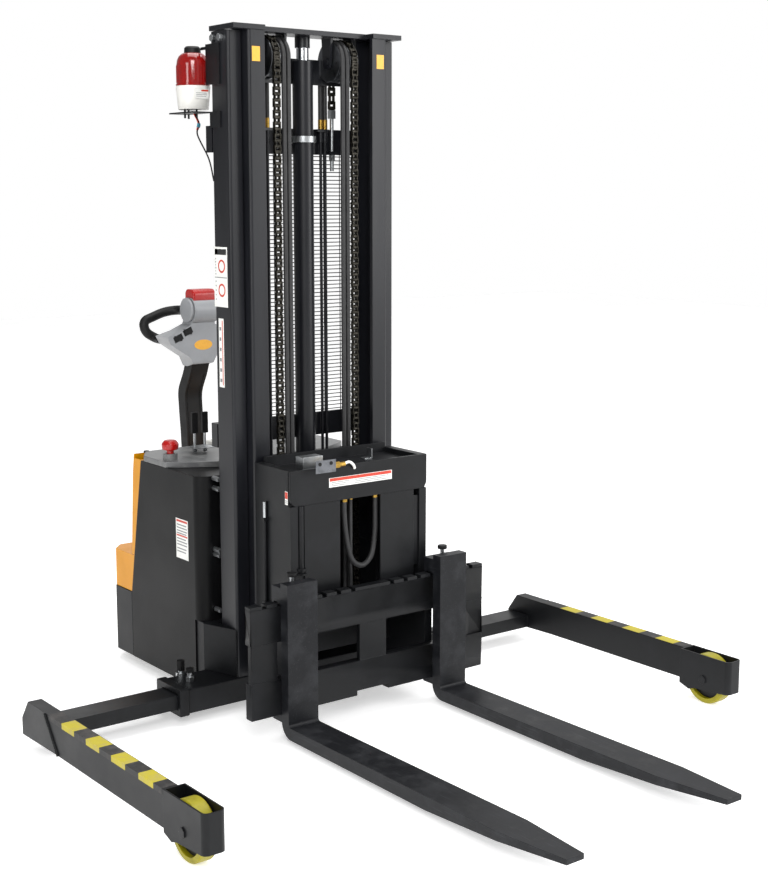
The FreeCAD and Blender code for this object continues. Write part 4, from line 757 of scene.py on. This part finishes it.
def hazard_tape():
    """Grit tape folded over the top and outer edge of each leg, yellow and black in turn."""
    for name, side in SIDES:
        low, high, _ = corners(f"outrigger_{name}")
        outer = high.x - 6 * MM if side > 0 else low.x + 6 * MM
        inner = outer - side * 40 * MM
        top = 0.149
        bm = bmesh.new()
        marks = (0.226, 0.145, 0.072, 0.004, -0.070, -0.135, -0.208, -0.276, -0.349, -0.392)
        for index, (near, far) in enumerate(zip(marks, marks[1:])):
            slot = (index + 1) % 2
            thick = 0.5 * MM
            xs = sorted((inner + side * 2 * MM, outer + side * thick))
            add_box(bm, (xs[0], far, top), (xs[1], near, top + thick), slot)
            xs = sorted((outer, outer + side * thick))
            add_box(bm, (xs[0], far, top - 15 * MM), (xs[1], near, top + thick * 0.5), slot)
        piece(f"hazard_tape_{name}", bm, f"{name}_leg", ("tape_yellow", "tape_black"),
              0.2, 1)


def roller(name, node, profiles):
    """A wheel turned about its own axle from (radius, width) profiles in millimetres."""
    centre = corners(node)[2]
    bm = bmesh.new()
    for slot, profile in enumerate(profiles):
        lathe(bm, (0, 0, 0), profile, slot, 64)
    bmesh.ops.rotate(bm, verts=bm.verts, matrix=Matrix.Rotation(math.radians(90), 3, "Y"))
    bmesh.ops.translate(bm, verts=bm.verts, vec=centre)
    piece(name, bm, BODY_OF[node], ("polyurethane", "hub_black", "roller_steel"), 1.2, 3,
          stands_for=(node,))


def wheels():
    """Load and caster wheels as tread, hub and boss; the drive wheel as one tyre."""
    tread = [(59, -21.8), (71, -21.8), (74.9, -18), (74.9, 18), (71, 21.8), (59, 21.8)]
    hub = [(16, -12), (59, -9), (59, 9), (16, 12)]
    boss = [(10.3, -21.8), (17, -21.8), (17, 21.8), (10.3, 21.8)]
    small = [(48, -15.8), (56, -15.8), (59.9, -12), (59.9, 12), (56, 15.8), (48, 15.8)]
    disc = [(12, -9), (48, -7), (48, 7), (12, 9)]
    collar = [(7.3, -15.8), (13, -15.8), (13, 15.8), (7.3, 15.8)]
    for name, _ in SIDES:
        roller(f"load_wheel_{name}_look", f"load_wheel_{name}", (tread, hub, boss))
        roller(f"caster_wheel_{name}_look", f"caster_wheel_{name}", (small, disc, collar))
    eased("drive_wheel", 6, ("tyre_rubber",), segments=3)


# ------------------------------------------------------------ covers, deck and tiller

def rounded_hood():
    """The hood over the drive, with its upper outer edges rolled over."""
    high = corners("drive_hood")[1]
    bm = joined_up("drive_hood")
    crest = high.z - 0.5 * MM
    rolled = [edge for edge in bm.edges if all(vert.co.z > crest for vert in edge.verts)
              and edge.calc_face_angle(0) > math.radians(60)
              and any(abs(face.normal.z) < 0.5 for face in edge.link_faces)
              and (abs(edge.verts[0].co.x) > high.x * 0.6 or edge.verts[0].co.y > high.y - 0.1)]
    bmesh.ops.bevel(bm, geom=rolled, offset=11 * MM, segments=5, profile=0.5, affect="EDGES",
                    clamp_overlap=True)
    piece("drive_hood_look", bm, "chassis", ("amber_abs",), 1.2, stands_for=("drive_hood",))


def covers():
    """Moulded covers and deck, with the screws, filler cap, gauge and lever plates on them."""
    eased("rear_cover", 1.5, ("amber_abs",))
    rounded_hood()
    eased("control_deck", 4, ("deck_abs",), segments=3)
    _, high, centre = corners("control_deck")
    bm = bmesh.new()
    cover = corners("rear_cover")[1].z
    for x in (-0.281, 0.281):
        add_tube(bm, [(x, 0.834, cover - 1 * MM), (x, 0.834, cover + 5 * MM)], 9 * MM, 24)
    piece("deck_screws", bm, "chassis", ("black_nylon",), 1.2)
    bm = bmesh.new()
    add_tube(bm, [(-0.043, 0.829, cover - 1 * MM), (-0.043, 0.829, cover + 16 * MM)], 20 * MM, 32)
    piece("filler_cap", bm, "chassis", ("white_abs",), 4, 3)
    bm = bmesh.new()
    gauge = Vector((0.09, centre.y + 30 * MM, high.z))
    add_tube(bm, [gauge, gauge + UP * 5 * MM], 27 * MM, 40, 0)
    add_tube(bm, [gauge + UP * 5 * MM, gauge + UP * 5.6 * MM], 22 * MM, 40, 1)
    add_box(bm, gauge + Vector((-1, -2, 5.6)) * MM, gauge + Vector((1, 15, 6.2)) * MM)
    piece("battery_gauge", bm, "chassis", ("black_nylon", "label_white"), 0.8)
    bm = bmesh.new()
    for x in (-0.176, -0.142):
        add_box(bm, (x - 16 * MM, centre.y - 25 * MM, high.z),
                (x + 16 * MM, centre.y + 35 * MM, high.z + 1.2 * MM))
    piece("lever_plates", bm, "chassis", ("zinc_plate",), 0.5)


def curved_arm():
    """The moulded arm: a bowed box with unbevelled edges, a little wider at its foot."""
    hinge_y, hinge_z = 0.936, 0.430
    rear = [(16, -14), (22, 4), (88, 105), (112, 220), (118, 290), (126, 370), (127, 430), (94, 490),
            (76, 530)]
    front = [(28, 530), (48, 485), (80, 425), (81, 370), (74, 300), (68, 220), (42, 120), (-12, 34),
             (-20, -14)]

    def from_hinge(spots, steps):
        return smooth_path([(0, hinge_y + y * MM, hinge_z + z * MM) for y, z in spots], steps)

    outline = from_hinge(rear, 5) + from_hinge(front, 5)
    half = corners("tiller_arm")[1].x - 0.2 * MM
    bm = bmesh.new()
    add_slab(bm, [(-half, spot.y, spot.z) for spot in outline],
             [(half, spot.y, spot.z) for spot in outline])
    piece("tiller_arm_look", bm, "tiller", ("black_nylon",), stands_for=("tiller_arm",))
    strip = bmesh.new()
    seam = from_hinge([(y - 0.6, z) for y, z in front[1:-2]], 6)
    for x in (-half + 9 * MM, half - 9 * MM):
        add_tube(strip, [(x, spot.y, spot.z) for spot in seam], 1.2 * MM, 8)
    piece("arm_seams", strip, "tiller", ("black_nylon",))


def tiller():
    """Tiller arm, head, grips, throttle and switches, with a blank badge."""
    curved_arm()
    low = corners("tiller_head")[0]
    eased("tiller_head", 5, ("head_shell",), segments=4)
    eased("handle_loops", 1, ("black_nylon",))
    eased("throttle", 5, ("head_shell", "black_nylon"), segments=4)
    eased("belly_button", 6, ("red_nylon",), segments=4)
    for node in ("lift_switch", "lower_switch"):
        eased(node, 1.5, ("black_nylon",), segments=3)
    bm = bmesh.new()
    face_y = 0.947  # the head's broad front face
    for node in ("lift_switch", "lower_switch"):
        centre = corners(node)[2]
        place = Matrix.Translation((centre.x, face_y, centre.z + 1 * MM))
        before = len(bm.verts)
        add_box(bm, (-17 * MM, -1.2 * MM, -10.5 * MM), (17 * MM, 1.4 * MM, 10.5 * MM))
        bmesh.ops.transform(bm, verts=list(bm.verts)[before:],
                            matrix=place @ Matrix.Rotation(math.radians(-24), 4, "Y"))
    piece("switch_bezels", bm, "tiller", ("black_nylon",), 2, 3)
    bm = bmesh.new()
    badge = Vector((0, face_y - 0.6 * MM, low.z + 74 * MM))
    rim = [badge + Vector((34 * math.cos(turn), 0, 17 * math.sin(turn))) * MM
           for turn in [2 * math.pi * k / 40 for k in range(40)]]
    add_slab(bm, rim, [spot - AHEAD * 3 * MM for spot in rim])
    piece("blank_badge", bm, "tiller", ("label_amber",), 0.6)


def controls():
    """Emergency stop, two levers and the key switch on the deck."""
    eased("estop_button", 2, ("red_nylon",), segments=3)
    for node in ("lift_lever", "lower_lever"):
        stem = corners(node)[1].z - 67 * MM
        eased(node, 1.5, ("black_nylon", "zinc_plate"), lambda c: 1 if c.z < stem else 0)
    eased("key_switch", 0.8, ("zinc_plate",))


# ------------------------------------------------------------ beacon, wiring and labels

def beacon():
    """White foot, ribbed red lens with a black cap, reflector, label and wires."""
    low, _, centre = corners("beacon_base")
    eased("beacon_base", 1.5, ("white_abs",))
    dome_low, _, dome = corners("beacon_dome")
    foot = dome_low.z
    bm = bmesh.new()
    outside = [(48.5, 0), (48.5, 5), (46.2, 6.5), (46.2, 58), (44.6, 70), (40, 81), (31, 89), (20, 92)]
    inside = [(20, 90), (30, 87), (38, 79.5), (42.4, 69), (44, 58), (44, 2), (44, 0)]
    lathe(bm, (dome.x, dome.y, foot), outside + inside, 0)
    lathe(bm, (dome.x, dome.y, foot), [(0.2, 90), (24, 90), (23, 104), (18, 109), (0.2, 110)], 1)
    piece("beacon_lens", bm, "chassis", ("red_lens", "black_nylon"),
          stands_for=("beacon_dome",))
    eased("beacon_reflector", 0.5, ("hard_chrome",))
    bm = bmesh.new()
    for index in range(40):
        angle = 2 * math.pi * index / 40
        out = Vector((math.cos(angle), math.sin(angle), 0)) * 46.2 * MM
        start = Vector((dome.x, dome.y, foot + 8 * MM)) + out
        add_tube(bm, [start, start + UP * 48 * MM], 0.9 * MM, 6)
    piece("lens_ribs", bm, "chassis", ("red_lens",))
    label("beacon_label", "chassis", Vector((centre.x, low.y + 1.2 * MM, low.z + 42 * MM)), ACROSS, UP,
          (44 * MM, 26 * MM), [(-0.1, 0.95, 0.55, 0.92)], bars(-0.85, 0.8, (0.2, -0.15, -0.5), 0.12))
    bm = bmesh.new()
    start = Vector((centre.x - 10 * MM, centre.y - 20 * MM, low.z - 10 * MM))
    web = corners("outer_mast_frame")[0].x
    drop = smooth_path([start, start + Vector((4, -18, -30)) * MM, start + Vector((-10, -34, -62)) * MM,
                        (web - 5 * MM, start.y - 46 * MM, start.z - 128 * MM),
                        (web + 2 * MM, start.y - 60 * MM, start.z - 190 * MM)], 8)
    add_tube(bm, drop, 2.2 * MM, 10, 0)
    for shift in (-4, 4):
        lead = [spot + Vector((shift * MM, shift * 0.6 * MM, 0)) for spot in drop[:14]]
        add_tube(bm, lead, 1.2 * MM, 8, 1)
        add_tube(bm, lead[8:12], 2.8 * MM, 10, 2)
    piece("beacon_wires", bm, "chassis", ("black_nylon", "label_red", "crimp_blue"))


def label(name, body, centre, across, up, size, bands, lines, signs=()):
    """A blank-texted vinyl label: white ground, coloured bands and grey bars, laid on a face."""
    out = across.cross(up)
    bm = bmesh.new()

    def spot(u, v):
        return centre + across * (u * size[0] / 2) + up * (v * size[1] / 2)

    def lay(outline, foot, lift, slot):
        add_slab(bm, [place + out * foot * MM for place in outline],
                 [place + out * lift * MM for place in outline], slot)

    def patch(low_u, high_u, low_v, high_v, lift, slot):
        lay([spot(low_u, low_v), spot(high_u, low_v), spot(high_u, high_v), spot(low_u, high_v)],
            lift - 0.25, lift, slot)

    patch(-1, 1, -1, 1, 0.3, 0)
    for low_u, high_u, low_v, high_v, *ink in bands:
        patch(low_u, high_u, low_v, high_v, 0.45, ink[0] if ink else 1)
    for low_u, high_u, low_v, high_v in lines:
        patch(low_u, high_u, low_v, high_v, 0.4, 2)
    for u, v, reach in signs:
        for step in range(24):
            edge = []
            for turn, share in ((step, 1), (step + 1, 1), (step + 1, 0.72), (step, 0.72)):
                angle = 2 * math.pi * turn / 24
                edge.append(spot(u, v) + (across * math.cos(angle) + up * math.sin(angle)) * reach * share)
            lay(edge, 0.25, 0.5, 1)
    piece(name, bm, body, ("label_white", "label_red", "label_grey", "label_black", "label_amber"),
          smooth=False)


def bars(low_u, high_u, rows, height, ragged=0.25):
    """Ragged level bars that stand for printed lines."""
    return [(low_u, high_u - ragged * random.random(), row - height / 2, row + height / 2) for row in rows]


def labels():
    """Text-free labels on the carriage, body side and mast."""
    low, _, centre = corners("carriage_top_plate")
    rows = (0, -0.35, -0.7)
    label("carriage_label", "carriage", Vector((0, low.y, centre.z + 4 * MM)), ACROSS, UP,
          (224 * MM, 27 * MM), [(-0.98, 0.98, 0.25, 0.92)],
          bars(-0.92, -0.35, rows, 0.14) + bars(-0.2, 0.9, rows, 0.14))
    side_x = corners("body_shell")[0].x
    label("body_label", "chassis", Vector((side_x, 0.531, 0.485)), AHEAD, UP, (72 * MM, 122 * MM),
          [(-0.9, 0.9, 0.84, 0.95), (-0.9, 0.9, 0.12, 0.2)],
          bars(-0.85, 0.85, (0.7, 0.55, 0.4, 0.27, 0, -0.15, -0.3, -0.5, -0.65), 0.06))
    web = corners("outer_mast_frame")[0].x
    panes = [(-0.86, 0.86, 0.74, 0.93, 3), (-0.8, -0.45, 0.76, 0.91, 4), (-0.92, 0.92, -0.03, 0.0, 2)]
    label("mast_warning_label", "chassis", Vector((web, 0.350, 1.277)), AHEAD, UP, (72 * MM, 170 * MM),
          panes,
          bars(-0.8, -0.66, (0.6, 0.5, 0.4, 0.3, 0.2, 0.1, -0.15, -0.3, -0.45, -0.6, -0.75), 0.05, 0.05),
          ((0.14, 0.36, 19 * MM), (0.14, -0.44, 19 * MM)))
    label("mast_strip_label", "chassis", Vector((web, 0.353, 1.060)), AHEAD, UP, (27 * MM, 198 * MM),
          [(0.3, 0.62, -0.94, 0.94)], bars(-0.7, 0.1, (0.7, 0.4, 0.1, -0.2, -0.5, -0.8), 0.1))
    label("post_sticker", "carriage", Vector((-corners("carriage_top_plate")[1].x, 0.092, 0.672)), AHEAD,
          UP, (14 * MM, 38 * MM), [(-0.9, 0.9, -0.1, 0.9)], bars(-0.8, 0.8, (-0.4, -0.7), 0.12))
    low = corners("inner_mast_frame")[0]
    for side_name, side in SIDES:
        bm = bmesh.new()
        x = side * 0.215
        add_box(bm, (x - 13 * MM, low.y - 0.4 * MM, 1.872), (x + 13 * MM, low.y, 1.912))
        piece(f"flange_sticker_{side_name}", bm, "inner_mast", ("label_amber",))


add_camera()
add_studio()
mast_lines()
carriage_lines()
carriage_fittings()
mesh_guard()
steelwork()
weld_seams()
hazard_tape()
wheels()
covers()
tiller()
controls()
beacon()
labels()
